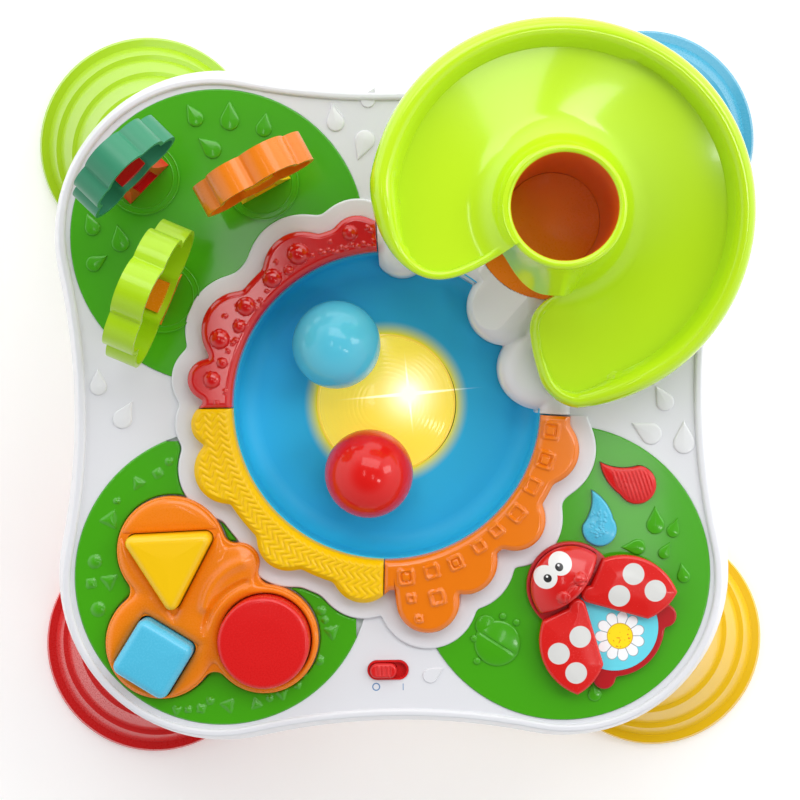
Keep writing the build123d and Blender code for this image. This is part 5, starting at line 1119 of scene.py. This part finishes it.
def build_beetle():
    """A beetle moulded in the panel: a round back with a seam across it, a head and four feet."""
    def back(x, y, depth):
        across = (x - BEETLE[0]) * 0.55 + (y - BEETLE[1]) * 0.83
        seam = -0.8 * np.exp(-((across / 0.6) ** 2)) * smooth(depth / 3)
        return 2.2 * np.sqrt(np.clip(depth / BEETLE_R, 0, 1)) + seam - 0.4

    foot = PANEL_TOP - 0.5
    shapes = [lid(arc(BEETLE, BEETLE_R, 0, 357, 120), BEETLE, foot, PANEL_TOP + 0.9, 0.8, back, 30)]
    for x, y, radius in BEETLE_PARTS:
        swell = lambda px, py, depth: 0.9 * np.sqrt(np.clip(depth / radius, 0, 1))
        shapes.append(lid(arc((x, y), radius, 0, 354, 60), (x, y), foot, PANEL_TOP + 0.7, 0.6, swell, 8))
    mould("beetle_relief", shapes, green, "green_panel")


# ---------------------------------------------------------------- lens and switch knob

LENS_RISE = 6.0
LENS_EDGE = 276.3
RING_STEP, RING_HIGH = 2.6, 0.06
KNOB = (-5.7, -146.5)
KNOB_LONG, KNOB_WIDE = 14.8, 7.9
GRIP_STEP, GRIP_HIGH = 2.4, 0.35


def build_lens():
    """The light's dome, turned from an arc with fine rings moulded in it and a groove near its edge."""
    reach = np.linspace(LENS_R, 0, 260)
    arc_radius = (LENS_R**2 + LENS_RISE**2) / (2 * LENS_RISE)
    height = LENS_EDGE + LENS_RISE - arc_radius + np.sqrt(arc_radius**2 - reach**2)
    ringed = smooth((reach - 10) / 6) * smooth((37 - reach) / 1.5)
    rings = RING_HIGH * np.abs(np.sin(pi * reach / RING_STEP)) * ringed
    rings = rings - 0.35 * np.exp(-(((reach - 37.8) / 0.35) ** 2))
    profile = np.vstack((((LENS_R, 272.0),), np.column_stack((reach, height + rings))))
    mould("lens_piece", [turned(profile, LENS, 240)], lens_yellow, "yellow_lens", replaces=("light_dome",))


def build_knob():
    """The sliding knob of the switch, an oval whose top has ridges in the form of a wave."""
    x, y = KNOB
    half = KNOB_LONG / 2 - KNOB_WIDE / 2
    radius = KNOB_WIDE / 2
    line = divided(np.vstack((arc((x + half, y), radius, -90, 90), arc((x - half, y), radius, 90, 270))), 0.3)

    def grip(px, py, depth):
        gripped = smooth((depth - 0.9) / 1.0) * (np.abs(px - x) < 4.5)
        return GRIP_HIGH * np.cos(2 * pi * (px - x) / GRIP_STEP) * gripped

    shape = lid(line, KNOB, 299.4, 304.2, 1.5, grip, 20)
    mould("knob_piece", [shape], red, "red_plastic", "switch knob", ("switch_knob",))


build_ring()
build_border()
build_clouds()
build_slide()
build_blocks()
build_plate()
build_sorter_panel()
build_ladybird()
build_buttons()
build_drops()
build_turning_rings()
build_beetle()
build_lens()
build_knob()

# ---------------------------------------------------------------- floor, light and camera

scene.view_settings.view_transform = "Standard"

FLOOR = 6.0  # half of the floor's side, in metres
floor_corners = [(FLOOR * x, FLOOR * y, 0) for x, y in ((-1, -1), (1, -1), (1, 1), (-1, 1))]
floor_mesh = bpy.data.meshes.new("floor")
floor_mesh.from_pydata(floor_corners, [], [(0, 1, 2, 3)])
floor = bpy.data.objects.new("floor", floor_mesh)
scene.collection.objects.link(floor)
glow = {"Emission_Color": (1, 1, 1, 1), "Emission_Strength": 0.16}
paper = Finish("floor_paper", (0.98, 0.98, 0.98, 1), 0.9, grain=0.0, drift=0.0, **glow)
floor_mesh.materials.append(paper.material)

world = bpy.data.worlds.new("studio")
scene.world = world
world.use_nodes = True
studio_nodes = world.node_tree.nodes
studio_links = world.node_tree.links


def studio_node(kind, settings, values, output=0):
    """A node of the world, with its settings first and then the links or values of its sockets."""
    node = studio_nodes.new(kind)
    for key, value in settings.items():
        setattr(node, key, value)
    for key, value in values.items():
        if isinstance(value, bpy.types.NodeSocket):
            studio_links.new(value, node.inputs[key])
        else:
            node.inputs[key].default_value = value
    return node.outputs[output]


def brightness(axis, smoothing, low, high, first, last):
    """A brightness that runs from the first value to the last between two shares of a direction's axis."""
    split = studio_node("ShaderNodeSeparateXYZ", {}, {0: towards}, axis)
    values = {"Value": split, "From Min": low, "From Max": high, "To Min": first, "To Max": last}
    return studio_node("ShaderNodeMapRange", {"interpolation_type": smoothing}, values)


# The room is dark only close to straight up, which flat faces mirror, and brighter at the back
towards = studio_node("ShaderNodeTexCoord", {}, {}, "Generated")
upwards = brightness("Z", "SMOOTHSTEP", 0.5, 0.92, 1.3, 0.1)
backwards = brightness("Y", "LINEAR", -1.0, 1.0, 0.45, 1.6)
strength = studio_node("ShaderNodeMath", {"operation": "MULTIPLY"}, {0: upwards, 1: backwards})
background = studio_nodes["Background"]
background.inputs["Color"].default_value = (1, 1, 1, 1)
studio_links.new(strength, background.inputs["Strength"])


def lamp(name, place, aim, size, glow):
    """A soft light box that faces a point: its power follows from how bright its face is."""
    data = bpy.data.lights.new(name, "AREA")
    data.shape = "RECTANGLE"
    data.size, data.size_y = size
    data.energy = glow * pi * size[0] * size[1]
    light = bpy.data.objects.new(name, data)
    scene.collection.objects.link(light)
    light.location = place
    light.rotation_euler = (Vector(aim) - Vector(place)).to_track_quat("-Z", "Y").to_euler()


TABLE = (0, 0, 0.3)
lamp("key", (0.25, 1.05, 2.0), TABLE, (1.7, 0.8), 3.3)
lamp("side", (1.25, 0.3, 1.3), TABLE, (0.45, 0.6), 4.6)
lamp("glint", (0.72, -0.42, 1.7), TABLE, (0.14, 0.24), 12.0)
lamp("strip_right", (0.306, -0.166, 1.72), (0.306, -0.166, 0), (0.11, 0.26), 4.5)
lamp("strip_left", (-0.246, 0.103, 1.72), (-0.246, 0.103, 0), (0.09, 0.34), 4.5)

# The photo's view, straight down from 1160 mm over the floor
camera_data = bpy.data.cameras.new("camera")
camera_data.sensor_width = 36
camera_data.lens = 70.0875
camera_data.shift_x = -0.0375
camera_data.shift_y = -0.06125
camera_data.clip_end = 20
camera = bpy.data.objects.new("camera", camera_data)
camera.location = (0.0224, 0.0292, 1.160)
camera.rotation_euler = (0, 0, radians(-0.8))
scene.collection.objects.link(camera)
scene.camera = camera
